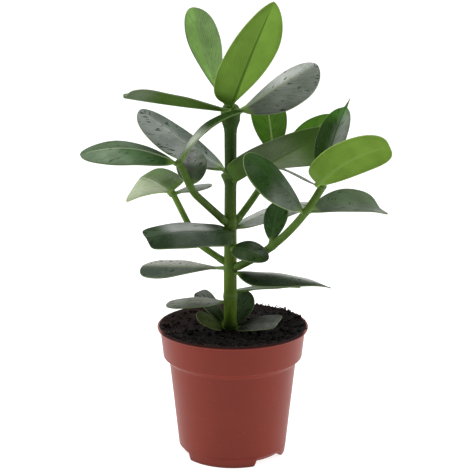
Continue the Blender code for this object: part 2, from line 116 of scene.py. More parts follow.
class Shader:
    """The nodes of one material or world."""

    def __init__(self, owner: Any, main: str = "Principled BSDF") -> None:
        """Starts on the nodes of a new material or world.

        Args:
            owner: the material or world.
            main: the name of the node that its surface comes from.
        """
        owner.use_nodes = True
        self.owner, self.tree = owner, owner.node_tree
        self.main = self.tree.nodes[main]

    def feed(self, socket: bpy.types.NodeSocket, value: Any) -> None:
        """Links a socket or sets its value.

        Args:
            socket: the input to feed.
            value: a Value or socket to link, or a number, colour or vector to set.
        """
        value = value.socket if isinstance(value, Value) else value
        if isinstance(value, bpy.types.NodeSocket):
            self.tree.links.new(value, socket)
        else:
            socket.default_value = (*value, 1.0) if socket.type == "RGBA" else value

    def node(self, kind: str, inputs: dict[Any, Any] | None = None, **settings: Any) -> bpy.types.Node:
        """Adds a node.

        Args:
            kind: the node's type.
            inputs: what feeds each input, by its number or by the name of one that is in use.
            settings: its properties, which are set before its inputs.

        Returns:
            The node.
        """
        made = self.tree.nodes.new(kind)
        for name, setting in settings.items():
            setattr(made, name, setting)
        for key, value in (inputs or {}).items():
            named = (socket for socket in made.inputs if socket.name == key and socket.enabled)
            self.feed(next(named) if isinstance(key, str) else made.inputs[key], value)
        return made

    def value(self, kind: str, inputs: dict[Any, Any], **settings: Any) -> Value:
        """The first output of a new node, as a number."""
        return Value(self, self.node(kind, inputs, **settings).outputs[0])

    def painted(self, colour: Any, *layers: tuple[Scalar, Any]) -> Any:
        """Lays colours over one another.

        Args:
            colour: the lowest colour.
            layers: for each further one, from below to above, its cover from 0 to 1 and its colour.

        Returns:
            The colour that they make.
        """
        for cover, upper in layers:
            made = self.node("ShaderNodeMix", {"Factor": cover, "A": colour, "B": upper}, data_type="RGBA")
            colour = next(socket for socket in made.outputs if socket.enabled)
        return colour

    def stretched(self, vector: Any, scale: Colour, shift: float = 0.0) -> bpy.types.NodeSocket:
        """A vector scaled along each axis, and shifted by the same distance along all, to move a pattern."""
        inputs = {"Vector": vector, "Scale": scale, "Location": (shift, shift, shift)}
        return self.node("ShaderNodeMapping", inputs).outputs[0]

    def noise(self, vector: bpy.types.NodeSocket, scale: float, detail: float = 2.0) -> Value:
        """Smooth noise about 0.5 at a vector, from its frequency and how many finer layers it has."""
        return self.value("ShaderNodeTexNoise", {"Vector": vector, "Scale": scale, "Detail": detail})

    def dots(self, vector: bpy.types.NodeSocket, scale: float) -> Value:
        """The distance to the nearest of scattered points, in cells of 1 / scale."""
        return self.value("ShaderNodeTexVoronoi", {"Vector": vector, "Scale": scale})

    def place(self) -> bpy.types.NodeSocket:
        """Object coordinates, in metres."""
        return self.node("ShaderNodeTexCoord").outputs["Object"]

    def carried(self, name: str) -> list[Value]:
        """The three parts of a mesh attribute."""
        return self.parts(self.node("ShaderNodeAttribute", attribute_name=name).outputs["Vector"])

    def parts(self, vector: bpy.types.NodeSocket) -> list[Value]:
        """The three parts of a vector."""
        return [Value(self, part) for part in self.node("ShaderNodeSeparateXYZ", {0: vector}).outputs]

    def joined(self, *numbers: Scalar) -> bpy.types.NodeSocket:
        """Three numbers as a vector."""
        return self.node("ShaderNodeCombineXYZ", dict(enumerate(numbers))).outputs[0]

    def raised(self, height: Value, depth: float, strength: float) -> bpy.types.NodeSocket:
        """The normal of a surface raised by a height of 0 to 1, where 1 stands for a depth in metres."""
        inputs = {"Height": height, "Distance": depth, "Strength": strength}
        return self.node("ShaderNodeBump", inputs).outputs[0]

    def surface(self, **inputs: Any) -> Any:
        """Feeds the main node.

        Args:
            inputs: its inputs by name, with an underscore for each blank.

        Returns:
            The finished material or world.
        """
        for name, value in inputs.items():
            self.feed(self.main.inputs[name.replace("_", " ")], value)
        return self.owner


def scaled(colour: Colour, *factors: float) -> Colour:
    """A colour whose parts are times one factor, or times a factor each."""
    return tuple(part * factor for part, factor in zip(colour, factors * 3))


# Finishes


@dataclass(frozen=True)
class LeafFinish:
    """A waxy leaf: its two faces, its midrib and its pale margin."""

    upper: Colour
    lower: Colour = (0.05, 0.11, 0.014)
    left: float = 0.0  # how grey the wax bloom and the painted sheen turn the upper face's left half
    right: float = 0.0  # and its right half
    tip: float = 0.0  # how much greyer the wax bloom and the painted sheen get towards the tip
    shade: float = 0.0  # how much darker the left half is, or the right one where this is negative
    foot: float = 0.0  # how dark the face gets towards its base
    fresh: float = 0.0  # how much lighter and greener it gets towards its tip
    span: tuple[float, float] = (-1.0, 2.0)  # the shares of the length between which the wax bloom with its painted sheen, and the gloss, lie
    gloss: float = 0.3  # how much of the face has a clear wax coat
    streaks: float = 0.8  # how dark the streaks between the veins are
    drops: float = 0.25  # how pale the water spots are
    veins: float = 0.25  # how clear the veins are
    rib_width: float = 0.75
    upper_rib: Colour = (0.14, 0.2, 0.07)
    lower_rib: Colour = (0.13, 0.22, 0.045)
    margin: Colour = (0.13, 0.18, 0.07)
    # the grey of the wax bloom, and of the painted sheen that stands in for reflections
    wax_and_sheen: Colour = (0.24, 0.255, 0.235)
    roughness: float = 0.3
    water_spot: Colour = (0.3, 0.33, 0.28)
    vein_sine: float = 0.5  # veins leave the midrib at 30 degrees
    vein_cosine: float = 0.87
    vein_spacing: float = 1.7  # millimetres
    relief: float = 0.00016  # metres

    def material(self, name: str, seed: int) -> bpy.types.Material:
        """Makes the material of one leaf.

        The blade attribute holds the place across the blade and along it and the distance from the
        margin, all in millimetres, and the face attribute holds the share of the length and 1 on the
        upper face. Veins and streaks run outwards and forwards from the midrib: beside is the place
        square to them, and onwards the place along them.

        Args:
            name: the material's name.
            seed: shifts the patterns, so that no two leaves are alike.

        Returns:
            The material.
        """
        shader = Shader(bpy.data.materials.new(name))
        across, along, inset = shader.carried("blade")
        share, upper, _ = shader.carried("face")
        off_rib = abs(across)
        beside = along * self.vein_sine - off_rib * self.vein_cosine
        onwards = along * self.vein_cosine + off_rib * self.vein_sine

        cloud = shader.noise(shader.stretched(shader.place(), (1.0, 1.0, 1.0), seed * 0.37), 62.0, 3.0)
        mottle = cloud.rise(0.3, 0.7)
        wobble = shader.noise(shader.joined(along * 0.2, across * 0.2, float(seed)), 1.0)
        veins = ((beside + wobble * 1.5) * (2 * math.pi / self.vein_spacing)).sine().rise(0.3, 1.0)
        veins = veins * off_rib.rise(0.6, 2.5) * share.rise(0.06, 0.2)
        grain = shader.noise(shader.joined(beside * 0.62, onwards * 0.13, seed * 2.1), 1.0)
        streak = grain.rise(0.6, 0.68) * cloud.rise(0.36, 0.52) * share.rise(0.1, 0.25)
        dark = streak * self.streaks
        thread = shader.noise(shader.joined(beside * 1.1, onwards * 0.11, seed * 4.3), 1.0, 3.0)
        drop = shader.dots(shader.joined(across * 0.5, along * 0.5, seed * 1.7), 0.62).rise(0.16, 0.09)
        start, stop = self.span
        sheen = share.rise(start - 0.12, start + 0.12) * share.rise(stop + 0.12, stop - 0.12)
        base = share.rise(0.55, 0.05) * self.foot
        # painted sheen: the wax bloom's grey, set for each half and towards the tip, also stands in for
        # reflections, and lies only within the span
        wax_and_sheen = self.right + (self.left - self.right) * across.rise(-6.0, 6.0) + self.tip * share.rise(0.3, 1.0)
        wax_and_sheen = wax_and_sheen * (0.6 + mottle * 0.3 + thread.rise(0.6, 0.35) * 0.3) * sheen
        rib = (off_rib - (1.0 - share) * self.rib_width).rise(0.42, 0.12) * share.rise(1.0, 0.86)
        low_rib = (off_rib - (1.0 - share)).rise(0.6, 0.1) * share.rise(1.0, 0.8)

        face = shader.painted(
            scaled(self.upper, 0.85),
            (mottle, scaled(self.upper, 1.3)),
            (share.rise(0.62, 0.82) * self.fresh, scaled(self.upper, 2.2, 3.1, 1.5)),
            (veins * self.veins, scaled(self.upper, 2.2)),
            (thread.rise(0.5, 0.75) * 0.5, scaled(self.upper, 0.5)),
            (wax_and_sheen, self.wax_and_sheen),
            (dark, scaled(self.upper, 0.35)),
            (base, scaled(self.upper, 0.3, 0.4, 0.2)),
            (drop * cloud.rise(0.58, 0.42) * self.drops, self.water_spot),
            (rib * 0.8, self.upper_rib),
        )
        under = shader.painted(
            self.lower,
            (mottle * 0.6, scaled(self.lower, 1.4)),
            (veins * self.veins, scaled(self.lower, 0.6)),
            (wax_and_sheen * 0.7, self.wax_and_sheen),
            (low_rib * 0.75, self.lower_rib),
        )
        darker = across.rise(-3.0, 3.0) if self.shade > 0 else across.rise(3.0, -3.0)
        lit = (1.0 - darker * abs(self.shade)) * (1.0 - inset.rise(5.0, 0.0) * 0.15)
        colour = shader.painted(
            under,
            (upper, face),
            (1.0 - lit, (0.0, 0.0, 0.0)),
            (inset.rise(0.9, 0.3) * 0.65, self.margin),
            (share.rise(0.13, 0.03) * 0.8, self.lower_rib),
        )
        fine = shader.noise(shader.joined(across, along, seed * 3.3), 1.7)
        height = veins * 0.4 + fine * 0.35 + thread * 0.5 - streak * 0.5 + rib * 0.5
        coat = self.gloss * (1.0 - dark) * (0.45 + upper * 0.55)
        coat = coat * (0.8 + mottle * 0.4) * (0.35 + sheen * 0.65) * (1.0 - base * 1.1).most(0.0)
        return shader.surface(
            Base_Color=colour, Roughness=0.6 + (cloud - 0.5) * 0.2, Specular_IOR_Level=0.0,
            Coat_Weight=coat, Coat_Roughness=self.roughness, Normal=shader.raised(height, self.relief, 0.7),
        )


@dataclass(frozen=True)
class StemFinish:
    """A smooth green stem whose colour changes from foot to top, with darker scars where leaves grow."""

    foot: Colour = (0.105, 0.18, 0.01)
    top: Colour = (0.018, 0.05, 0.002)
    collar: Colour = (0.08, 0.15, 0.025)
    scar: Colour = (0.018, 0.016, 0.006)
    streak: Colour = (0.06, 0.11, 0.014)
    speck: Colour = (0.13, 0.15, 0.05)
    shadow: float = 0.0  # how dark it gets towards its foot
    relief: float = 0.0003  # metres

    def material(self, name: str, seed: int) -> bpy.types.Material:
        """Makes the material of one stem.

        The stalk attribute holds the share of the stem's length, and how much of a node's light
        collar and of its dark scar there is.

        Args:
            name: the material's name.
            seed: shifts the patterns.

        Returns:
            The material.
        """
        shader = Shader(bpy.data.materials.new(name))
        share, collar, scar = shader.carried("stalk")
        place = shader.place()
        grain = shader.noise(shader.stretched(place, (1.0, 1.0, 0.12), seed * 0.61), 900.0, 3.0)
        patches = shader.noise(shader.stretched(place, (1.0, 1.0, 0.5), seed * 1.3), 110.0, 3.0)
        specks = shader.dots(shader.stretched(place, (1.0, 1.0, 0.45), seed * 0.9), 420.0).rise(0.2, 0.1)
        uneven = (patches - 0.5) * 0.5
        edge = (scar + (grain - 0.5) * 0.5).rise(0.35, 0.75)
        colour = shader.painted(
            self.foot,
            ((share + uneven).rise(0.1, 0.85), self.top),
            (grain.rise(0.55, 0.75) * 0.45, self.streak),
            (patches.rise(0.6, 0.42) * 0.35, scaled(self.top, 0.5)),
            (specks * 0.4, self.speck),
            ((collar + uneven).rise(0.15, 0.9) * 0.6, self.collar),
            (share.rise(0.17, 0.07) * self.shadow, scaled(self.top, 0.5)),
            (edge * 0.28, self.scar),
        )
        normal = shader.raised(grain * 0.5 + patches * 0.4 - edge * 0.5, self.relief, 0.7)
        rough = 0.36 + patches * 0.2
        return shader.surface(Base_Color=colour, Roughness=rough, Specular_IOR_Level=0.14, Normal=normal)


@dataclass(frozen=True)
class PlasticFinish:
    """Thin moulded plastic, a little chalky, with a painted highlight on the lip at its left and right, and
    the rest of the lip near-black.
    """

    base: Colour = (0.19, 0.021, 0.009)
    chalk_and_highlight: Colour = (0.34, 0.14, 0.11)
    dark_lip: Colour = (0.002, 0.001, 0.001)  # near-black over the top of the lip, except at its left and right ends
    roughness: float = 0.36
    relief: float = 0.00015  # metres, as are the lengths below
    lip: tuple[float, float] = (0.1035, 0.1046)  # the height over which the lip's painted highlight begins
    dark_lip_line: tuple[float, float] = (0.1028, 0.104)
    lip_ends: tuple[float, float] = (0.053, 0.058)  # how far left and right the near-black lip ends and its painted highlight begins

    def material(self, name: str) -> bpy.types.Material:
        """Makes the material, whose marks lie by height and by the place from left to right.

        Args:
            name: the material's name.

        Returns:
            The material.
        """
        shader = Shader(bpy.data.materials.new(name))
        place = shader.place()
        sideways, _, height = shader.parts(place)
        patches = shader.noise(place, 38.0, 4.0)
        flow = shader.noise(shader.stretched(place, (1.0, 1.0, 0.06)), 700.0)
        fine = shader.noise(place, 2600.0)
        scuffs = shader.noise(shader.stretched(place, (1.0, 1.0, 5.0), 0.7), 160.0, 3.0).rise(0.66, 0.74)
        end = abs(sideways).rise(*self.lip_ends)
        # the top of the lip near-black, except at its left and right ends, and rougher there
        dark_lip_cover = height.rise(*self.dark_lip_line) * (1.0 - end) * (0.8 + fine * 0.2)
        colour = shader.painted(
            self.base,
            (patches.rise(0.35, 0.7) * 0.22, scaled(self.base, 1.35)),
            (fine.rise(0.5, 0.8) * 0.12, self.chalk_and_highlight),
            (scuffs * 0.18, self.chalk_and_highlight),
            # painted highlight on the lip at its left and right ends
            (height.rise(*self.lip) * end * 0.45, self.chalk_and_highlight),
            (dark_lip_cover, self.dark_lip),
            # painted shade over the lowest 4 mm, at the foot
            (height.rise(0.004, 0.0) * 0.5, scaled(self.base, 0.45)),
        )
        normal = shader.raised(fine * 0.35 + flow * 0.4 + patches * 0.5, self.relief, 0.5)
        rough = self.roughness + (patches - 0.5) * 0.2 + fine * 0.08 + scuffs * 0.1 + dark_lip_cover * 0.6
        return shader.surface(Base_Color=colour, Roughness=rough, Specular_IOR_Level=0.22, Normal=normal)


@dataclass(frozen=True)
class PeatFinish:
    """Moist dark peat with redder and paler fibres, and paler crumbs where it lies dry on the rim."""

    dark: Colour = (0.0025, 0.002, 0.0022)
    brown: Colour = (0.014, 0.008, 0.006)
    fibre: Colour = (0.05, 0.028, 0.018)
    russet: Colour = (0.045, 0.016, 0.013)
    dry: Colour = (0.07, 0.04, 0.03)
    relief: float = 0.0009  # metres
    dry_from: tuple[float, float] = (0.1044, 0.105)  # heights in metres
    edge: tuple[float, float] = (0.0028, 0.003)  # the squares of distances from the axis, in metres

    def material(self, name: str) -> bpy.types.Material:
        """Makes the material, which is redder towards the back left and dry beyond the peat's edge.

        Args:
            name: the material's name.

        Returns:
            The material.
        """
        shader = Shader(bpy.data.materials.new(name))
        place = shader.place()
        clods = shader.noise(place, 260.0, 4.0)
        grit = shader.noise(place, 1100.0, 3.0)
        threads = shader.noise(shader.stretched(place, (1.0, 0.18, 1.0), 0.3), 1500.0)
        x, y, z = shader.parts(place)
        beyond = (x * x + y * y).rise(*self.edge)
        colour = shader.painted(
            self.dark,
            (clods.rise(0.42, 0.7), self.brown),
            ((y - x).rise(0.01, 0.07) * 0.5 * grit, self.russet),
            (grit.rise(0.6, 0.78) * 0.6, self.fibre),
            (threads.rise(0.68, 0.76) * 0.5, self.fibre),
            (z.rise(*self.dry_from) * beyond * 0.8, self.dry),
        )
        normal, rough = shader.raised(grit * 0.7 + clods * 0.5, self.relief, 0.9), 0.75 + grit * 0.25
        return shader.surface(Base_Color=colour, Roughness=rough, Specular_IOR_Level=0.15, Normal=normal)


@dataclass(frozen=True)
class FloorFinish:
    """A plain white floor that is lit a little from below, as a light table is."""

    colour: Colour = (0.4, 0.4, 0.4)
    glow: float = 0.85

    def material(self, name: str) -> bpy.types.Material:
        """The material, with the given name."""
        glow = {"Emission_Color": (1.0, 1.0, 1.0), "Emission_Strength": self.glow}
        return Shader(bpy.data.materials.new(name)).surface(Base_Color=self.colour, Roughness=0.9, **glow)


# Surfaces


class Slot(Enum):
    """The material slots."""

    POT = "pot"
    SOIL = "soil"
    MAIN_STEM = "main_stem"
    SIDE_SHOOT = "side_shoot"
    LEAF = "leaf"
    MID_GREEN_LEAF = "mid_green_leaf"
    YOUNG_LEAF = "young_leaf"


@dataclass
class Surface:
    """A mesh in the making: its points and faces in millimetres, and what each point carries."""

    points: np.ndarray
    faces: list[tuple[int, ...]]
    carried: dict[str, np.ndarray] = field(default_factory=dict)

    @classmethod
    def swept(cls, rings: np.ndarray, **carried: np.ndarray) -> "Surface":
        """Joins rings of points into a closed tube.

        Neighbouring rings are joined by four-sided faces, and each end by triangles to the middle of
        its ring. Faces point outwards where a ring runs counterclockwise about the way to the next.

        Args:
            rings: the points, as (ring, place round it, 3).
            carried: values for each point, as (ring, place round it, 3), by the name of their attribute.

        Returns:
            The surface.
        """
        count, around = rings.shape[:2]
        ring, step = np.meshgrid(np.arange(count - 1), np.arange(around), indexing="ij")
        here, onwards = ring * around + step, ring * around + (step + 1) % around
        quads = np.stack([here, onwards, onwards + around, here + around], -1).reshape(-1, 4)
        edge = np.arange(around)
        pairs = np.stack([edge, (edge + 1) % around], -1)
        start, last = count * around, (count - 1) * around
        faces = [tuple(face) for face in quads.tolist()]
        faces += [(start, b, a) for a, b in pairs.tolist()]
        faces += [(start + 1, last + a, last + b) for a, b in pairs.tolist()]
        closed = {
            name: np.vstack([values.reshape(-1, 3), values[0].mean(0), values[-1].mean(0)])
            for name, values in {"points": rings, **carried}.items()
        }
        return cls(closed.pop("points"), faces, closed)

    def turned_round(self) -> "Surface":
        """The same surface with its faces turned to point the other way."""
        return Surface(self.points, [face[::-1] for face in self.faces], self.carried)

    def piece(self, name: str, material: bpy.types.Material, slot: Slot, *nodes: str) -> None:
        """Makes the surface a smooth piece of the part.

        Args:
            name: the piece's name.
            material: its material.
            slot: its material slot; it is not used.
            nodes: the CAD nodes that it stands for.
        """
        mesh = bpy.data.meshes.new(name)
        mesh.from_pydata((self.points * MM).tolist(), [], self.faces)
        for key, value in self.carried.items():
            layer = mesh.attributes.new(key, "FLOAT_VECTOR", "POINT")
            layer.data.foreach_set("vector", value.astype(np.float32).ravel())
        mesh.shade_smooth()
        mesh.materials.append(material)
        made = placed(name, mesh)
        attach(made, "root")
        if nodes:
            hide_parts(*nodes)
        log.info("%s: %d points, %d faces", name, len(self.points), len(self.faces))


def placed(name: str, data: Any) -> bpy.types.Object:
    """Puts a mesh, light or camera into the scene.

    Args:
        name: the object's name.
        data: what it holds.

    Returns:
        The object, at the origin.
    """
    made = bpy.data.objects.new(name, data)
    bpy.context.scene.collection.objects.link(made)
    return made


def heading(azimuth: float, pitch: float) -> np.ndarray:
    """The unit vector of an azimuth and a pitch in degrees."""
    turn, rise = math.radians(azimuth), math.radians(pitch)
    return np.array((math.cos(rise) * math.cos(turn), math.cos(rise) * math.sin(turn), math.sin(rise)))


def unit(vectors: np.ndarray) -> np.ndarray:
    """The vectors, each with length 1."""
    return vectors / np.linalg.norm(vectors, axis=-1, keepdims=True)


def smooth(value: np.ndarray, low: float, high: float) -> np.ndarray:
    """A smooth step: 0 before low, 1 after high; low may be above high."""
    share = np.clip((np.asarray(value) - low) / (high - low), 0.0, 1.0)
    return share * share * (3 - 2 * share)


def bell(distance: np.ndarray, width: float) -> np.ndarray:
    """A bell-shaped curve: 1 where the distance is 0, and 1/e at the width."""
    return np.exp(-((distance / width) ** 2))


def turned(around: int) -> np.ndarray:
    """The angles of a number of even steps round a circle, in radians."""
    return np.linspace(0.0, 2 * np.pi, around, endpoint=False)


def grid(*parts: np.ndarray) -> np.ndarray:
    """Three arrays, widened to one shape, as one array of vectors."""
    return np.stack(np.broadcast_arrays(*parts), -1)


def lattice_noise(x: np.ndarray, y: np.ndarray, cell: float, seed: int) -> np.ndarray:
    """Smooth noise in the plane.

    Random heights stand on a square lattice, and a smooth step blends the four round each point.

    Args:
        x: the points' first coordinate, in millimetres.
        y: their second one.
        cell: the lattice's spacing.
        seed: which random heights are used.

    Returns:
        The noise, -1 to 1.
    """
    size = 64
    heights = np.random.default_rng(seed).uniform(-1.0, 1.0, (size, size))
    u, v = x / cell, y / cell
    column, row = np.floor(u).astype(int), np.floor(v).astype(int)
    a, b = smooth(u - column, 0.0, 1.0), smooth(v - row, 0.0, 1.0)
    near, far = (
        heights[column % size, line % size] * (1 - a) + heights[(column + 1) % size, line % size] * a
        for line in (row, row + 1)
    )
    return near * (1 - b) + far * b


# Stems


@dataclass(frozen=True)
class Stem:
    """A round stem along a path, which swells and bears a scar ring at each of its nodes."""

    name: str
    nodes: tuple[float, ...]
    around: int = 40
    collar: float = 0.3  # how far a node stands out, in millimetres
    _: KW_ONLY
    slot: Slot = Slot.SIDE_SHOOT
    ring_spacing: float = 0.9
    collar_width: float = 2.4
    pale_width: float = 3.2  # of the collar's light colour
    scar_width: float = 0.55
    tip_rounding: float = 1.6

    def centre(self, along: np.ndarray) -> np.ndarray:
        """The path's points at distances along it."""
        raise NotImplementedError

    def direction(self, along: float) -> np.ndarray:
        """The path's unit direction at a distance along it."""
        raise NotImplementedError

    def radius(self, along: np.ndarray) -> np.ndarray:
        """The stem's radius at distances along it, as leaves are seated on it."""
        raise NotImplementedError

    def reach(self) -> tuple[float, float]:
        """Where along its path the stem starts and ends."""
        raise NotImplementedError

    def stand_out(self) -> np.ndarray:
        """How far each node's collar stands out."""
        return np.full(len(self.nodes), self.collar)

    def roots(self, along: np.ndarray, turn: np.ndarray) -> np.ndarray:
        """How far petioles' roots stand out from each ring; none do on a plain stem."""
        return np.zeros((len(along), len(turn)))

    def seat(self, along: float) -> tuple[np.ndarray, np.ndarray, float]:
        """The centre, direction and radius where a leaf sits."""
        here = np.array([along])
        return self.centre(here)[0], self.direction(along), float(self.radius(here)[0])

    def surface(self) -> Surface:
        """The stem's surface.

        Each ring is a circle about the path, a little out of round, and its radius adds a bell-shaped
        collar at each node to the stem's own. The last rings shrink to round the tip off.

        Returns:
            The surface, with the stalk attribute.
        """
        start, stop = self.reach()
        along = np.linspace(start, stop, int((stop - start) / self.ring_spacing) + 1)
        centre = self.centre(along)
        ahead = unit(np.gradient(centre, axis=0))
        level = unit(np.cross((0.13, 1.0, 0.31), ahead))
        over = np.cross(ahead, level)
        turn = turned(self.around)
        away = np.abs(along[:, None] - np.array(self.nodes))
        scar = bell(away, self.scar_width).sum(1)[:, None]
        roots = self.roots(along, turn)
        collar = np.maximum(bell(away, self.pale_width).max(1)[:, None], np.clip(roots, 0.0, 1.0))
        radius = self.radius(along) + self.stand_out() @ bell(away, self.collar_width).T
        from_tip = np.minimum((stop - along) / self.tip_rounding, 1.0)
        rounding = np.sqrt(np.clip(1 - (1 - from_tip) ** 2, 0.02, 1))
        uneven = 1 + 0.02 * np.sin(2 * turn + 0.05 * along[:, None])
        uneven = uneven + 0.012 * np.sin(3 * turn + 1 + 0.11 * along[:, None])
        size = (radius * rounding)[:, None] * uneven + roots
        rings = centre[:, None] + size[..., None] * (
            np.cos(turn)[:, None] * level[:, None] + np.sin(turn)[:, None] * over[:, None]
        )
        share = (along - start) / (stop - start)
        return Surface.swept(rings, stalk=grid(share[:, None], collar, scar))

    def build(self, finish: StemFinish, seed: int) -> None:
        """Makes the stem's piece with a finish, its patterns shifted by a seed."""
        material = finish.material(f"{self.name}_bark", seed)
        self.surface().piece(f"{self.name}_skin", material, self.slot, self.name)


@dataclass(frozen=True)
class MainStem(Stem):
    """The upright stem, which stands a little beside the pot's axis."""

    name: str = "main_stem"
    nodes: tuple[float, ...] = (104.0, 128.0, 151.5, 188.0, 226.0, 276.0)
    x: float = -2.0
    foot: float = 88.0
    top: float = 281.5
    swelling: float = 0.4
    swelling_reach: float = 4.5
    collar: float = 0.15
    crown_collar: float = 0.2
    girth: tuple[tuple[float, float], ...] = (  # pairs of height and radius
        (72.0, 5.3), (125.0, 5.2), (154.0, 5.0), (187.0, 4.8), (225.0, 4.7), (258.0, 4.7), (262.0, 5.1),
        (265.0, 6.1), (268.0, 7.1), (274.0, 7.3), (277.0, 6.6), (280.0, 5.3), (281.5, 3.5),
    )
    bracket: tuple[float, float, float] = (226.0, 9.0, 2.6)  # height, fall and reach of the petioles' roots
    slot: Slot = Slot.MAIN_STEM

    def centre(self, along: np.ndarray) -> np.ndarray:
        """Points straight up the stem; the distance along it is the height."""
        return grid(np.array(self.x), np.array(0.0), along)

    def direction(self, along: float) -> np.ndarray:
        """Straight up."""
        return np.array((0.0, 0.0, 1.0))

    def radius(self, along: np.ndarray) -> np.ndarray:
        """The girth between its stated heights, plus a swelling that fades evenly away from each node.

        Args:
            along: heights.

        Returns:
            The radii.
        """
        heights, radii = zip(*self.girth)
        nearest = np.abs(along[:, None] - np.array(self.nodes)).min(1)
        swelling = self.swelling * np.clip(1 - nearest / self.swelling_reach, 0, None)
        return np.interp(along, heights, radii) + swelling

    def stand_out(self) -> np.ndarray:
        """As on the other stems, but the crown's collar stands out most."""
        return np.array([self.collar] * (len(self.nodes) - 1) + [self.crown_collar])

    def roots(self, along: np.ndarray, turn: np.ndarray) -> np.ndarray:
        """The roots of the second pair's petioles, which run down the stem's left and right.

        They stand out by a smooth step that fades down the fall below the node, times the fourth
        power of the cosine of the angle round the stem.

        Args:
            along: the rings' heights.
            turn: the angles round a ring.

        Returns:
            How far each point stands out, as (ring, angle).
        """
        height, fall, reach = self.bracket
        below = np.clip(1 - (height - along) / fall, 0, None)
        shape = smooth(below, 0.0, 1.0) * smooth(along, height + 2.0, height - 0.5)
        return reach * shape[:, None] * np.cos(turn) ** 4

    def reach(self) -> tuple[float, float]:
        """From inside the soil to the crown."""
        return self.foot, self.top


@dataclass(frozen=True)
class Shoot(Stem):
    """A side shoot: it leaves the main stem at a height and steepens from its first pitch to its last.

    The stretches of straight_base and straight_tip at its ends are straight, and it bends evenly
    between them.
    """

    height: float = 0.0
    azimuth: float = 0.0
    first_pitch: float = 0.0
    last_pitch: float = 0.0
    length: float = 0.0
    base_radius: float = 0.0
    tip_radius: float = 0.0
    straight_base: float = 0.0
    straight_tip: float = 0.0
    start: float = 0.7  # of the main stem's radius, out from its axis
    rooting: float = 1.0  # how far it runs on into the main stem

    def centre(self, along: np.ndarray) -> np.ndarray:
        """Points on the shoot's axis.

        Between the two straight stretches the pitch grows evenly with the distance, so the way out
        and up there is the integral of the pitch's cosine and sine.

        Args:
            along: distances along the shoot.

        Returns:
            The points.
        """
        first, last = math.radians(self.first_pitch), math.radians(self.last_pitch)
        start, stop = self.straight_base, self.length - self.straight_tip
        bend = (last - first) / (stop - start)
        before, after = np.minimum(along, start), np.maximum(along - stop, 0.0)
        pitch = first + bend * (np.clip(along, start, stop) - start)
        out = before * math.cos(first) + (np.sin(pitch) - math.sin(first)) / bend + after * math.cos(last)
        up = before * math.sin(first) + (math.cos(first) - np.cos(pitch)) / bend + after * math.sin(last)
        out = out + self.start * float(MAIN_STEM.radius(np.array([self.height]))[0])
        foot = np.array((MAIN_STEM.x, 0.0, self.height))
        return foot + out[:, None] * heading(self.azimuth, 0.0) + up[:, None] * np.array((0.0, 0.0, 1.0))

    def direction(self, along: float) -> np.ndarray:
        """The heading at a distance along the shoot, whose pitch changes evenly between the straights.

        Args:
            along: the distance.

        Returns:
            The unit vector.
        """
        start, stop = self.straight_base, self.length - self.straight_tip
        share = min(max(along - start, 0.0), stop - start) / (stop - start)
        return heading(self.azimuth, self.first_pitch + (self.last_pitch - self.first_pitch) * share)

    def radius(self, along: np.ndarray) -> np.ndarray:
        """An even taper from base to tip."""
        return self.base_radius + (self.tip_radius - self.base_radius) * along / self.length

    def reach(self) -> tuple[float, float]:
        """From inside the main stem to the shoot's tip."""
        return -self.rooting, self.length


MAIN_STEM = MainStem()
FRONT_LEFT = Shoot(
    "side_shoot_front_left", (5.0, 48.0, 71.0), height=188, azimuth=218, first_pitch=41, last_pitch=62.5,
    length=73, base_radius=3.0, tip_radius=2.7, straight_base=37, straight_tip=24,
)
BACK_LEFT = Shoot(
    "side_shoot_back_left", (5.0, 71.5), around=32, height=155, azimuth=158, first_pitch=29, last_pitch=61,
    length=75, base_radius=2.6, tip_radius=2.4, straight_base=23, straight_tip=43,
)
BACK_RIGHT = Shoot(
    "side_shoot_back_right", (5.0, 58.0), around=32, height=186.5, azimuth=37, first_pitch=41, last_pitch=55,
    length=67, base_radius=2.8, tip_radius=2.4,
)
FRONT_RIGHT = Shoot(
    "side_shoot_front_right", (5.0, 42.0, 85.5, 111.0), height=151.8, azimuth=325, first_pitch=26,
    last_pitch=61, length=113, base_radius=3.1, tip_radius=2.9,
)
LIGHT_SHOOT = StemFinish((0.06, 0.115, 0.008), (0.1, 0.18, 0.025), streak=(0.16, 0.25, 0.06))
GREEN_SHOOT = StemFinish((0.042, 0.095, 0.006), (0.068, 0.135, 0.013), streak=(0.13, 0.21, 0.05))
DARK_SHOOT = StemFinish((0.028, 0.055, 0.006), (0.06, 0.125, 0.009), streak=(0.15, 0.23, 0.045))
STEMS = (
    (MAIN_STEM, StemFinish(shadow=0.6)), (FRONT_LEFT, DARK_SHOOT), (BACK_LEFT, LIGHT_SHOOT),
    (BACK_RIGHT, GREEN_SHOOT), (FRONT_RIGHT, GREEN_SHOOT),
)


# Leaves


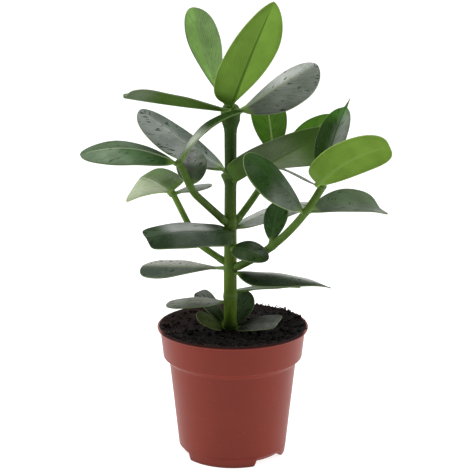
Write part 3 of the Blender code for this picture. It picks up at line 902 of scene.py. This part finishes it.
@dataclass(frozen=True)
class Leaf:
    """A leaf: a thick obovate blade that narrows to a short stalk, along a bowed midrib.

    at is its place along its stem. widest is the share of the length where the blade is widest, and
    roundness says how blunt its tip is. A positive fold raises the two halves beside the midrib.
    arch and sway bow the midrib towards the upper face and towards the leaf's left, hook bends the
    tip down, roll turns the blade about its length, and twist turns it further from base to tip.
    seat is the side of the stem that it grows from, where that differs from its azimuth. skew
    widens the left half by that share and narrows the right one, and slant moves the left half's
    widest place outwards and the right one's inwards. point is the share of the length that is a
    narrow spike. curl_left and curl_right bend the margins up, in millimetres at the widest place.
    """

    name: str
    stem: Stem
    at: float
    azimuth: float
    pitch: float
    length: float
    width: float
    finish: LeafFinish
    slot: Slot = Slot.LEAF
    widest: float = 0.6
    roundness: float = 0.5
    fold: float = 8.0
    arch: float = 2.0
    sway: float = 0.0
    hook: float = 0.0
    roll: float = 0.0
    twist: float = 0.0
    seat: float | None = None
    skew: float = 0.0
    slant: float = 0.0
    point: float = 0.0
    curl_left: float = -1.1
    curl_right: float = -1.1
    thickness: float = 0.95
    spike_half_width: float = 2.2
    stalk_half_width: float = 2.0
    stalk_thickness: float = 2.6
    stalk_share: float = 0.16
    stalk_clearance: float = 0.42
    rooting: float = 2.2  # how far the stalk runs on into its stem
    fold_softness: float = 2.0  # square millimetres that round off the crease along the midrib
    rib_height: float = 1.1
    groove_depth: float = 0.22
    ripple_height: float = 0.35
    long_leaf: float = 45.0
    rows: tuple[int, int] = (48, 72)  # of a short and of a long leaf
    columns: int = 26

    def midrib(self, t: np.ndarray) -> tuple[np.ndarray, np.ndarray, np.ndarray]:
        """The midrib and the blade's directions beside it.

        The way from the midrib's start is the length along the heading, plus a parabola that peaks
        in the middle for the bow, less the fourth power of t for the hook.

        Args:
            t: shares of the leaf's length.

        Returns:
            The way from the midrib's start, and the blade's left and upper side, each as (t, 3).
        """
        forward = heading(self.azimuth, self.pitch)
        level = heading(self.azimuth + 90.0, 0.0)
        above = np.cross(forward, level)
        roll = math.radians(self.roll)
        left = level * math.cos(roll) + above * math.sin(roll)
        upper = above * math.cos(roll) - level * math.sin(roll)
        bow = self.arch * upper + self.sway * left
        t = t[:, None]
        way = self.length * t * forward + 4 * t * (1 - t) * bow - self.hook * t**4 * upper
        tangent = unit(self.length * forward + (4 - 8 * t) * bow - 4 * self.hook * t**3 * upper)
        sideways = unit(left - (tangent @ left)[:, None] * tangent)
        raised = np.cross(tangent, sideways)
        twist = math.radians(self.twist) * t
        cosine, sine = np.cos(twist), np.sin(twist)
        return way, sideways * cosine + raised * sine, raised * cosine - sideways * sine

    def base(self) -> np.ndarray:
        """Where the midrib starts: as far out as lets the CAD stalk's corners clear the round stem.

        A corner p off the midrib clears a stem of radius r, with its clearance included, when the
        midrib starts at least sqrt(r^2 - |p|^2 + (p.o)^2) - p.o from the stem's axis along the
        outward direction o, where p is taken square to the axis.

        Returns:
            The point.
        """
        centre, along, radius = self.stem.seat(self.at)
        side = self.azimuth if self.seat is None else self.seat
        outwards = heading(side, 0.0 if self.stem is MAIN_STEM else self.pitch)
        outwards = unit(outwards - outwards @ along * along)
        _, sideways, raised = self.midrib(np.zeros(1))
        across, rise = np.meshgrid((-self.stalk_half_width, 0.0, self.stalk_half_width), (-0.5, 0.5))
        corners = across.reshape(-1, 1) * sideways + rise.reshape(-1, 1) * raised
        corners = corners - (corners @ along)[:, None] * along
        out = corners @ outwards
        clear = (radius + self.stalk_clearance) ** 2 - (corners**2).sum(1) + out**2
        return centre + float((np.sqrt(clear) - out).max()) * outwards

    def half_width(self, t: np.ndarray, side: np.ndarray) -> np.ndarray:
        """Half the blade's width.

        It is t^a (1-t)^b, scaled to peak at the widest place, and never less than the flat stalk near
        the base or the spike near the tip.

        Args:
            t: shares of the leaf's length.
            side: 1 on the left half and -1 on the right one.

        Returns:
            The half widths.
        """
        widest = np.clip(self.widest + self.slant * side, 0.1, 0.9)
        b = self.roundness
        a = b * widest / (1 - widest)
        peak = widest**a * (1 - widest) ** b
        body = np.clip(t / (1 - self.point), 0.0, 1.0)
        width = body**a * (1 - body) ** b / peak * self.width / 2
        if self.point:
            spike = np.clip((1 - t) / self.point / 1.6, 0.0, 1.0)
            width = np.maximum(width, self.spike_half_width * spike)
        stalk = self.stalk_half_width * np.sqrt(np.clip(1 - t / self.stalk_share, 0.0, None))
        return np.maximum(width, stalk) * (1 + self.skew * side)

    def shares(self) -> np.ndarray:
        """The shares of the leaf's length where its rings lie, two of them inside its stem.

        Most of the step from ring to ring follows a cosine, which crowds the rings at both ends.

        Returns:
            The shares, from the stalk's root to just short of the tip.
        """
        even = np.linspace(0.0, 1.0, self.rows[self.length > self.long_leaf])
        shown = (1 - np.cos(np.pi * even)) / 2 * 0.9 + even * 0.1
        shown[-1] = 0.9995
        root = -self.rooting / self.length
        return np.concatenate([[root, 0.4 * root], shown])

    def surface(self) -> Surface:
        """The leaf's closed surface.

        Rings run round the blade's section, over the upper face from left to right and back under
        it. Columns crowd towards the margins, where the section rounds off. The upper face lies half
        the thickness above the folded middle surface, with a shallow groove over the midrib. The
        lower one lies as far below it, and a bell-shaped rib that tapers from the stalk to the tip
        stands on it. The margins' curl and slow ripple grow with the square of the place across.

        Returns:
            The surface, with the blade and face attributes.
        """
        t = self.shares()[:, None]
        way, sideways, raised = self.midrib(t[:, 0])
        place = np.sin(np.linspace(np.pi / 2, -np.pi / 2, self.columns))
        around = np.concatenate([place, place[-2:0:-1]])[None, :]
        top = np.concatenate([np.ones(self.columns), np.zeros(self.columns - 2)])[None, :]
        side = np.where(around >= 0, 1.0, -1.0)
        half = self.half_width(t, side)
        across = half * around
        inset = half - np.abs(across)

        stalk = smooth(t, 0.2, 0.02)
        thickness = self.thickness + (self.stalk_thickness - self.thickness) * stalk
        edge = np.minimum(thickness * (0.6 + 0.9 * stalk), half + 1e-6)
        rounding = np.sqrt(np.clip(1 - (1 - np.minimum(inset / edge, 1.0)) ** 2, 0.0, 1.0))
        taper = np.clip(1 - t, 0.0, 1.0)
        rib = self.rib_height * taper**0.8 * (1 - stalk * 0.6) * bell(across, 0.7 + 0.9 * taper)
        rib = rib * smooth(inset, 0.0, 1.5)
        groove = self.groove_depth * taper * bell(across, 0.8) * (1 - stalk)
        fold, soft = math.radians(self.fold), self.fold_softness
        lift = math.sin(fold) * (np.sqrt(across**2 + soft) - math.sqrt(soft))
        curl = np.where(side > 0, self.curl_left, self.curl_right)
        ripple = self.ripple_height * np.sin(0.16 * t * self.length + 1.3 * side + self.length)
        skin = np.where(top > 0, thickness / 2 * rounding - groove, -thickness / 2 * rounding - rib)
        height = lift + (curl + ripple) * (across / (self.width / 2)) ** 2 + skin
        rings = (self.base() + way)[:, None] + (math.cos(fold) * across)[..., None] * sideways[:, None]
        rings = rings + height[..., None] * raised[:, None]
        face = grid(np.clip(t, 0, 1), top, np.zeros(1))
        return Surface.swept(rings, blade=grid(across, t * self.length, inset), face=face)

    def build(self, seed: int) -> None:
        """Makes the leaf's piece, its patterns shifted by a seed."""
        material = self.finish.material(f"{self.name}_wax", seed)
        self.surface().piece(f"{self.name}_blade", material, self.slot, self.name)


# Each row starts with name, stem, place along it, azimuth, pitch, length and width.
LEAVES = (
    Leaf(
        "leaf_crown_front", MAIN_STEM, 280.6, 323, 64, 88, 39, LeafFinish((0.15, 0.275, 0.038),
        lower=(0.15, 0.275, 0.038), gloss=0.15, streaks=0.0, drops=0.0, veins=0.35,
        upper_rib=(0.05, 0.11, 0.012), lower_rib=(0.05, 0.11, 0.012), margin=(0.3, 0.42, 0.12),
        roughness=0.45, shade=-0.12), Slot.YOUNG_LEAF, widest=0.44, roundness=0.7, fold=12, arch=-3, sway=-2,
        roll=-40, seat=280, slant=0.16,
    ),
    Leaf(
        "leaf_crown_back", MAIN_STEM, 281, 141, 67, 77.5, 40, LeafFinish((0.12, 0.23, 0.045), right=0.1,
        streaks=0.5, drops=0.1, upper_rib=(0.12, 0.22, 0.05), shade=-0.1), Slot.MID_GREEN_LEAF, widest=0.72,
        fold=14, arch=-3, sway=3, slant=0.02,
    ),
    Leaf(
        "leaf_1_right", MAIN_STEM, 275.5, 30, 24, 77, 30.5, LeafFinish((0.03, 0.055, 0.02), left=0.72,
        right=0.72, foot=0.6, gloss=1.0, rib_width=1.5, upper_rib=(0.2, 0.24, 0.16), shade=-0.2,
        wax_and_sheen=(0.25, 0.275, 0.24)), widest=0.64, fold=-12, roll=44, skew=-0.34, slant=0.08,
    ),
    Leaf(
        "leaf_1_left", MAIN_STEM, 277.5, 203, 9, 83, 27, LeafFinish((0.03, 0.07, 0.015),
        lower=(0.055, 0.105, 0.02), left=0.55, right=0.1, gloss=0.6, span=(0.78, 2.0)), widest=0.76,
        roundness=0.26, fold=28, arch=-1, roll=14, seat=255, curl_left=0.6, curl_right=0.6,
    ),
    Leaf(
        "leaf_2_left", MAIN_STEM, 229, 148, 27, 90, 30, LeafFinish((0.026, 0.05, 0.026), left=0.12,
        right=0.1, gloss=0.85, streaks=1.0, rib_width=0.9, upper_rib=(0.1, 0.125, 0.09), shade=0.05),
        widest=0.58, fold=-6, arch=-1, roll=-25, skew=0.15,
    ),
    Leaf(
        "leaf_2_right", MAIN_STEM, 222, 343, 30, 86.5, 38, LeafFinish((0.03, 0.06, 0.012),
        lower=(0.065, 0.13, 0.025), gloss=0.35, shade=-0.3, veins=0.15, left=0.75, right=0.5,
        wax_and_sheen=(0.26, 0.28, 0.21), span=(0.2, 0.65), lower_rib=(0.07, 0.13, 0.025)), Slot.MID_GREEN_LEAF,
        widest=0.5, fold=16, arch=-1, roll=-50, twist=-45, seat=310, skew=0.1, slant=0.3,
    ),
    Leaf(
        "leaf_3_left", MAIN_STEM, 181.2, 210, 5.5, 72, 29, LeafFinish((0.022, 0.05, 0.016), left=0.12,
        right=1.0, gloss=0.85, streaks=0.6, shade=0.1, wax_and_sheen=(0.3, 0.315, 0.3), span=(0.24, 0.74),
        lower_rib=(0.04, 0.08, 0.02), upper_rib=(0.06, 0.09, 0.045)), widest=0.5, roundness=0.12, fold=-18,
        hook=3, roll=-24, seat=268, curl_right=2.6,
    ),
    Leaf(
        "leaf_3_right", MAIN_STEM, 183, 33, 8.5, 76, 24, LeafFinish((0.1, 0.13, 0.08),
        lower=(0.16, 0.19, 0.13), left=0.8, right=0.8, gloss=1.0, wax_and_sheen=(0.34, 0.36, 0.33)), widest=0.5,
        fold=-6, arch=4, roll=8,
    ),
    Leaf(
        "leaf_4_left", MAIN_STEM, 150.5, 150, -6.5, 78, 34, LeafFinish((0.028, 0.055, 0.02), right=0.75,
        gloss=0.6, streaks=0.9, shade=0.4, foot=0.2, wax_and_sheen=(0.33, 0.325, 0.29)), widest=0.75, fold=-5, arch=0,
        roll=-14,
    ),
    Leaf(
        "leaf_4_right", MAIN_STEM, 148, 328, 0, 84, 35, LeafFinish((0.017, 0.036, 0.01), left=0.9,
        gloss=0.35, shade=-0.4, wax_and_sheen=(0.4, 0.42, 0.38), upper_rib=(0.05, 0.08, 0.035)), widest=0.4,
        roundness=1.6, fold=-12, arch=3, roll=4, slant=0.02,
    ),
    Leaf(
        "leaf_stem_small", MAIN_STEM, 168.5, 315, -2, 37, 19, LeafFinish((0.024, 0.05, 0.012), left=0.03,
        foot=0.3, shade=0.3, upper_rib=(0.04, 0.08, 0.025)), widest=0.5, fold=-8, arch=5, hook=2, roll=42,
        seat=290,
    ),
    Leaf(
        "leaf_5_left", MAIN_STEM, 124, 210, 4, 51, 19, LeafFinish((0.03, 0.05, 0.02), left=0.1, right=0.55,
        gloss=0.8, wax_and_sheen=(0.3, 0.3, 0.27), shade=0.2), widest=0.6, fold=6, roll=-10,
    ),
    Leaf(
        "leaf_5_right", MAIN_STEM, 131, 28, -4, 58, 28, LeafFinish((0.03, 0.055, 0.015), left=0.1, right=0.1,
        gloss=0.35), widest=0.5, fold=6, roll=-10,
    ),
    Leaf(
        "leaf_6_left", MAIN_STEM, 103, 140, 41, 35, 17, LeafFinish((0.024, 0.038, 0.014),
        upper_rib=(0.03, 0.05, 0.018), tip=0.7, foot=0.9), widest=0.76, roundness=0.2, fold=4, roll=-10,
    ),
    Leaf(
        "leaf_6_right", MAIN_STEM, 102, 325, 18, 42, 21, LeafFinish((0.026, 0.03, 0.02), left=0.2,
        right=0.15, shade=0.3, foot=0.9, tip=0.4, upper_rib=(0.05, 0.06, 0.04)), widest=0.74, roundness=0.18,
        fold=4, roll=22,
    ),
    Leaf(
        "leaf_7_left", MAIN_STEM, 102.5, 215, 28, 28.5, 18.5, LeafFinish((0.05, 0.07, 0.02), gloss=0.1,
        foot=0.9, upper_rib=(0.05, 0.07, 0.02), margin=(0.16, 0.18, 0.08)), widest=0.62, roundness=0.4,
        fold=4, roll=-34,
    ),
    Leaf(
        "leaf_7_right", MAIN_STEM, 103, 55, 60, 29, 22, LeafFinish((0.04, 0.075, 0.026), left=0.08,
        right=0.08, gloss=0.2, upper_rib=(0.04, 0.08, 0.03)), fold=4, roll=20,
    ),
    Leaf(
        "leaf_fl_left", FRONT_LEFT, 72, 195, 7, 71, 33, LeafFinish((0.035, 0.1, 0.016), left=0.2, right=0.12,
        foot=0.8, gloss=0.42, rib_width=1.1, upper_rib=(0.22, 0.29, 0.16), shade=-0.35), Slot.MID_GREEN_LEAF,
        widest=0.56, fold=-11, arch=9, roll=-24,
    ),
    Leaf(
        "leaf_fl_right", FRONT_LEFT, 72, 15, 35, 59, 22, LeafFinish((0.03, 0.07, 0.012),
        lower=(0.06, 0.11, 0.025), left=1.0, right=0.9, tip=-0.3, wax_and_sheen=(0.5, 0.55, 0.45), foot=0.0,
        span=(0.1, 0.44)), Slot.MID_GREEN_LEAF, fold=20, arch=6,
    ),
    Leaf(
        "leaf_fl_back", FRONT_LEFT, 48, 90, 42, 34, 24, LeafFinish((0.03, 0.05, 0.02), left=0.3, right=0.03,
        gloss=0.8, shade=0.5, upper_rib=(0.05, 0.08, 0.035)), widest=0.5, fold=4, arch=3,
    ),
    Leaf(
        "leaf_bl_left", BACK_LEFT, 73, 137, 13, 35, 43, LeafFinish((0.09, 0.17, 0.04), left=1.0, right=0.1,
        streaks=0.0, drops=0.0, veins=0.3, wax_and_sheen=(0.36, 0.4, 0.28), upper_rib=(0.36, 0.44, 0.25),
        margin=(0.25, 0.36, 0.09), shade=-0.35), Slot.YOUNG_LEAF, widest=0.6, roundness=0.12, fold=-10,
        arch=4, roll=-35, skew=0.1, slant=0.3,
    ),
    Leaf(
        "leaf_bl_right", BACK_LEFT, 71, 20, 9, 30, 16, LeafFinish((0.04, 0.07, 0.03), left=0.5, right=0.5,
        gloss=0.9), fold=0, arch=1, roll=4,
    ),
    Leaf(
        "leaf_br_left", BACK_RIGHT, 65.5, 104, 60, 52, 30, LeafFinish((0.045, 0.11, 0.011), right=0.03,
        gloss=0.05, streaks=0.2, drops=0.0, upper_rib=(0.2, 0.28, 0.1)), Slot.MID_GREEN_LEAF, widest=0.62,
        fold=6,
    ),
    Leaf(
        "leaf_br_right", BACK_RIGHT, 66, 25, 34, 57, 34, LeafFinish((0.04, 0.1, 0.011), right=0.02,
        gloss=0.0, streaks=0.3, drops=0.0), Slot.MID_GREEN_LEAF, fold=6, roll=10,
    ),
    Leaf(
        "leaf_br_low", BACK_RIGHT, 58, 325, -17, 37, 24, LeafFinish((0.03, 0.05, 0.02),
        lower=(0.05, 0.07, 0.035), left=0.2, right=0.2, gloss=0.4, margin=(0.15, 0.17, 0.12)), fold=0,
        arch=1, roll=-20,
    ),
    Leaf(
        "leaf_fr_small", FRONT_RIGHT, 42, 65, 60, 33, 20, LeafFinish((0.02, 0.055, 0.01), left=0.03,
        rib_width=0.7, upper_rib=(0.04, 0.09, 0.025)), fold=6,
    ),
    Leaf(
        "leaf_fr_left", FRONT_RIGHT, 85, 219, 38, 72, 35, LeafFinish((0.021, 0.055, 0.011), left=0.35,
        right=0.1, tip=0.05, streaks=0.4, shade=0.1, upper_rib=(0.035, 0.07, 0.02), span=(-1.0, 0.56),
        margin=(0.2, 0.28, 0.12)), widest=0.6, fold=-8, arch=4, sway=-1, roll=-58,
    ),
    Leaf(
        "leaf_fr_right", FRONT_RIGHT, 86, 30, -4, 64.5, 35, LeafFinish((0.035, 0.07, 0.02), left=0.03,
        right=0.1, gloss=0.55, streaks=0.7, shade=-0.3, upper_rib=(0.045, 0.085, 0.03)), widest=0.74,
        roundness=0.22, fold=14, arch=5, roll=22, curl_left=0.2, curl_right=0.0,
    ),
    Leaf(
        "leaf_fr_top_front", FRONT_RIGHT, 112, 322, 29.5, 69, 29.5, LeafFinish((0.135, 0.24, 0.032),
        lower=(0.135, 0.24, 0.032), gloss=0.15, streaks=0.0, drops=0.0, veins=0.2, rib_width=0.7,
        upper_rib=(0.22, 0.34, 0.08), lower_rib=(0.18, 0.3, 0.06), margin=(0.28, 0.38, 0.11), roughness=0.45,
        shade=0.06), Slot.YOUNG_LEAF, widest=0.5, roundness=0.3, fold=8, sway=-4, roll=-68, seat=225,
        skew=-0.08, slant=0.15,
    ),
    Leaf(
        "leaf_fr_top_back", FRONT_RIGHT, 111.5, 44, 64, 66.5, 26, LeafFinish((0.022, 0.055, 0.009),
        right=0.75, gloss=0.12, streaks=0.3, upper_rib=(0.03, 0.065, 0.012), shade=0.2, fresh=1.0,
        span=(-1.0, 0.85)), widest=0.58, roundness=0.55, fold=10, arch=4, roll=10, skew=0.15, point=0.12,
    ),
)


# Pot and soil


@dataclass(frozen=True)
class Pot:
    """A round nursery pot: a lip, a tall band, a tapered wall and a foot ring with three arched notches."""

    rim: float = 60.0
    height: float = 105.0
    wall: float = 1.2
    rim_width: float = 1.8
    lip: float = 2.2
    band_top: tuple[float, float] = (57.6, 101.8)  # a radius and a height, as the next three are
    band_foot: tuple[float, float] = (55.3, 80.5)
    body_top: tuple[float, float] = (50.6, 76.5)
    flare: tuple[float, float] = (43.2, 7.0)
    foot: float = 42.2
    floor_rise: float = 3.0
    disc: float = 15.0
    notches: tuple[tuple[float, float, float, float], ...] = (  # azimuths: start, full height, its end, end
        (53.6, 58.3, 93.7, 98.4), (173.6, 178.3, 213.7, 218.4), (293.6, 298.3, 321.0, 341.0),
    )
    notch_height: float = 5.8
    notch_reach: tuple[float, float] = (34.0, 38.0)  # the radii over which a notch deepens
    floor_lift: float = 3.9  # how high a notch lifts the floor's edge at most
    around: int = 240
    corner_points: int = 5
    spacing: float = 3.0

    def profile(self) -> np.ndarray:
        """The pot's section, from the inner floor's middle over the rim to the base.

        Each corner is rounded by a curve that leaves one side and joins the next at the given distance
        from the corner: a point at share s of it is (1-s)^2 start + 2s(1-s) corner + s^2 end.

        Returns:
            The points, each a radius and a height.
        """
        wall, rise, inside = self.wall, self.floor_rise, self.rim - self.rim_width
        walls = ((self.flare, 0.6), (self.body_top, 1.0), (self.band_foot, 1.0), (self.band_top, 0.6))
        corners = (
            (0.0, wall, 0.0), (self.disc - wall, wall, 0.4), (self.disc, rise + wall, 0.4),
            (self.foot - wall, rise + wall, 0.8),
            *((radius - wall, height, size) for (radius, height), size in walls),
            (inside, self.height - 0.6, 0.5), (inside + 0.5, self.height, 0.35),
            (self.rim - 0.5, self.height, 0.4), (self.rim, self.height - 0.7, 0.4),
            (self.rim - 0.2, self.height - self.lip, 0.3), (*self.band_top, 0.5), (*self.band_foot, 0.5),
            (*self.body_top, 1.0), (*self.flare, 1.2), (self.foot, 0.0, 0.35),
            (self.foot - wall, 0.0, 0.35), (self.foot - wall, rise, 0.5), (self.disc, rise, 0.4),
            (self.disc, 0.0, 0.3), (0.0, 0.0, 0.0),
        )
        found = [np.array(corners[0][:2])]
        for before, (*middle, size), after in zip(corners, corners[1:], corners[2:]):
            start = middle + size * unit(np.subtract(before[:2], middle))
            stop = middle + size * unit(np.subtract(after[:2], middle))
            s = np.linspace(0.0, 1.0, self.corner_points)[:, None]
            found.extend((1 - s) ** 2 * start + 2 * s * (1 - s) * np.array(middle) + s**2 * stop)
        found.append(np.array(corners[-1][:2]))
        line = [found[0]]
        for point in found[1:]:
            steps = max(1, int(np.linalg.norm(point - line[-1]) / self.spacing))
            line.extend(line[-1] + (point - line[-1]) * step / steps for step in range(1, steps + 1))
        return np.array(line)

    def build(self, finish: PlasticFinish) -> None:
        """Makes the pot's piece.

        The section is turned about the axis. Under a notch the foot's points are squeezed upwards: a
        height below the flare's is scaled onto what is left above the notch's edge.

        Args:
            finish: the plastic.
        """
        section = self.profile()[1:-1]
        radius, height = section[:, :1], section[:, 1:]
        turn = turned(self.around)
        azimuth = np.degrees(turn)
        depth = [
            smooth(azimuth, start, full) * smooth(azimuth, end, high)
            for start, full, high, end in self.notches
        ]
        notch = self.notch_height * np.max(depth, axis=0)
        low = height < self.flare[1]
        inner = low & (np.arange(len(section)) < len(section) // 2)[:, None]
        near = smooth(radius, *self.notch_reach) * low
        foot = height + near * notch * (1 - np.clip(height / self.flare[1], 0, 1))
        foot = np.where(radius < self.foot - self.wall - 0.2, np.minimum(foot, self.floor_lift), foot)
        foot = np.where(inner, height, foot)
        shell = Surface.swept(grid(radius * np.cos(turn), radius * np.sin(turn), foot)).turned_round()
        shell.piece("pot_shell", finish.material("terracotta_plastic"), Slot.POT, "pot")


@dataclass(frozen=True)
class Soil:
    """The peat: its uneven top, its sides along the pot's inner wall, and loose crumbs."""

    level: float = 100.4
    radius: float = 58.5
    bank: float = 4.3
    bank_width: float = 20.0
    mound: float = 1.2  # round the main stem
    mound_width: float = 9.0
    grain: tuple[tuple[float, float], ...] = (  # height and cell of each layer of noise
        (0.55, 11.0), (0.75, 4.2), (0.5, 1.9), (0.3, 0.9),
    )
    side: tuple[tuple[float, float], ...] = (  # radius and height, from the edge down
        (57.6, 103.4), (56.0, 101.5), (53.7, 80.5), (49.0, 76.5), (41.6, 8.0), (20.0, 6.0),
    )
    crumbs: int = 900
    crumb_inset: float = 1.5  # how far the crumbs on the peat keep from its edge
    fibre_stretch: float = 2.6
    rim_crumbs: int = 150
    rim_azimuth: tuple[float, float] = (47.0, 20.0)  # the middle and the spread of the crumbs on the rim
    rim_radii: tuple[float, float] = (57.2, 59.6)
    around: int = 260
    rows: int = 84
    seed: int = 12

    def top(self, x: np.ndarray, y: np.ndarray) -> np.ndarray:
        """The height of the peat's top.

        It is the level, plus a bank against the wall that grows with the square of the nearness, plus
        layers of noise, each finer than the last, which mostly fade out at the wall.

        Args:
            x: the points' first coordinate.
            y: their second one.

        Returns:
            The heights.
        """
        inwards = self.radius - np.hypot(x, y)
        bank = self.bank * np.clip(1 - inwards / self.bank_width, 0, 1) ** 2
        mound = self.mound * bell(np.hypot(x - MAIN_STEM.x, y), self.mound_width)
        layers = enumerate(self.grain, start=1)
        lumps = sum(height * lattice_noise(x, y, cell, seed) for seed, (height, cell) in layers)
        return self.level + bank + mound + lumps * (0.25 + 0.75 * smooth(inwards, 0.0, 6.0))

    def build(self, finish: PeatFinish) -> None:
        """Makes the soil's piece, whose top and sides are rings about the axis, and its crumbs.

        Args:
            finish: the peat.
        """
        turn = turned(self.around)
        radius = np.linspace(0.4, self.radius, self.rows)[:, None]
        x, y = radius * np.cos(turn), radius * np.sin(turn)
        side, height = (np.array(column)[:, None] for column in zip(*self.side))
        rings = np.concatenate([
            grid(x, y, self.top(x, y)), grid(side * np.cos(turn), side * np.sin(turn), height),
        ])
        material = finish.material("peat")
        Surface.swept(rings).turned_round().piece("soil_fill", material, Slot.SOIL, "soil")
        self.scatter().piece("soil_crumbs", material, Slot.SOIL)

    def scatter(self) -> Surface:
        """Loose crumbs on the peat and on the back of the rim.

        Each crumb is the same round body of 42 points, stretched, turned and dented by random numbers.

        Returns:
            All the crumbs as one surface.
        """
        random = np.random.default_rng(self.seed)
        body = bpy.data.meshes.new("crumb_body")
        work = bmesh.new()
        bmesh.ops.create_icosphere(work, subdivisions=2, radius=1.0)
        work.to_mesh(body)
        work.free()
        ball = np.array([vertex.co for vertex in body.vertices])
        shapes = np.array([face.vertices[:] for face in body.polygons])
        bpy.data.meshes.remove(body)

        count = self.crumbs + self.rim_crumbs
        size = np.exp(random.normal(-0.35, 0.45, count))[:, None] * random.uniform(0.55, 1.3, (count, 3))
        size[::9, 0] *= self.fibre_stretch  # every ninth is a long fibre
        dents = 1 + random.normal(0.0, 0.16, (count, len(ball), 1))
        turns = np.linalg.qr(random.normal(size=(count, 3, 3)))[0]
        turns *= np.sign(np.linalg.det(turns))[:, None, None]
        radius = np.sqrt(random.uniform(0.0, 1.0, count)) * (self.radius - self.crumb_inset)
        angle = random.uniform(0.0, 2 * np.pi, count)
        x, y = radius * np.cos(angle), radius * np.sin(angle)
        z = self.top(x, y) + size.min(1) * 0.3
        rim = slice(self.crumbs, None)
        angle[rim] = np.radians(random.normal(*self.rim_azimuth, self.rim_crumbs))
        reach = random.uniform(*self.rim_radii, self.rim_crumbs)
        x[rim], y[rim] = reach * np.cos(angle[rim]), reach * np.sin(angle[rim])
        size[rim] *= 0.5
        z[rim] = Pot().height + size[rim].min(1) * 0.5 - 0.1 + random.exponential(0.35, self.rim_crumbs)
        points = np.einsum("nij,nkj->nki", turns, ball * dents * size[:, None]) + grid(x, y, z)[:, None]
        faces = shapes + (np.arange(count) * len(ball))[:, None, None]
        return Surface(points.reshape(-1, 3), [tuple(face) for face in faces.reshape(-1, 3).tolist()])


# Studio


@dataclass(frozen=True)
class Studio:
    """A plain white floor, soft light from all round that is dimmer behind the camera, and the camera."""

    camera_place: tuple[float, float, float] = (1.6, -1000.0, 412.0)
    tilt: float = 13.18
    roll: float = 0.15
    lens: float = 100.42
    floor_size: float = 60.0  # metres
    behind_camera: float = 0.05
    all_round: float = 1.0
    aim: tuple[float, float, float] = (0.0, 0.0, 0.18)  # metres, the plant's middle
    lamps: tuple[tuple[str, tuple[float, float, float], float, float], ...] = (  # metres and watts
        ("top_box", (-0.25, 0.1, 1.5), 1.1, 15.0),
        ("left_box", (-1.1, -0.1, 0.6), 0.7, 6.0),
        ("right_box", (1.1, -0.05, 0.5), 0.7, 6.0),
    )

    def floor(self) -> None:
        """Lays a square floor under the pot, far wider than the picture shows.

        It is left out of the part, as a piece of the stage.
        """
        half = self.floor_size / 2
        mesh = bpy.data.meshes.new("floor")
        corners = [(-half, -half, 0), (half, -half, 0), (half, half, 0), (-half, half, 0)]
        mesh.from_pydata(corners, [], [(0, 1, 2, 3)])
        mesh.materials.append(FloorFinish().material("white_floor"))
        placed("floor", mesh)

    def sky(self) -> None:
        """Lights the plant from all round.

        The light's strength grows in a smooth step from behind the camera to above and beyond the plant.
        """
        bpy.context.scene.world = bpy.data.worlds.new("studio")
        shader = Shader(bpy.context.scene.world, "Background")
        _, y, z = shader.parts(shader.node("ShaderNodeTexCoord").outputs["Generated"])
        ahead = (y + z * 0.4).rise(-0.45, 0.4)
        strength = self.behind_camera + (self.all_round - self.behind_camera) * ahead
        shader.surface(Color=(1.0, 1.0, 1.0), Strength=strength)

    def boxes(self) -> None:
        """Hangs the soft boxes, square lamps that point at the plant's middle."""
        for name, place, side, power in self.lamps:
            light = bpy.data.lights.new(name, "AREA")
            light.size, light.energy = side, power
            aim = (Vector(self.aim) - Vector(place)).to_track_quat("-Z", "Y").to_matrix().to_4x4()
            placed(name, light).matrix_world = Matrix.Translation(place) @ aim

    def camera(self) -> None:
        """Takes the photograph's viewpoint: a long lens a metre away that looks a little down."""
        lens = bpy.data.cameras.new("camera")
        lens.lens, lens.sensor_width, lens.clip_end = self.lens, 36.0, 200.0
        camera = placed("camera", lens)
        tilt = Matrix.Rotation(math.radians(90 - self.tilt), 4, "X")
        roll = Matrix.Rotation(math.radians(self.roll), 4, "Z")
        camera.matrix_world = Matrix.Translation(Vector(self.camera_place) * MM) @ tilt @ roll
        bpy.context.scene.camera = camera

    def build(self) -> None:
        """Sets the whole studio up."""
        bpy.context.scene.view_settings.view_transform = "Standard"
        for make in (self.floor, self.sky, self.boxes, self.camera):
            make()


def main() -> None:
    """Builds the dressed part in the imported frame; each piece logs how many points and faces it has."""
    logging.basicConfig(level=logging.INFO, format="%(message)s")
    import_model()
    Studio().build()
    Pot().build(PlasticFinish())
    Soil().build(PeatFinish())
    for seed, (stem, finish) in enumerate(STEMS):
        stem.build(finish, seed)
    for seed, leaf in enumerate(LEAVES):
        leaf.build(seed)
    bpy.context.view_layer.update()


if __name__ == "__main__":
    main()
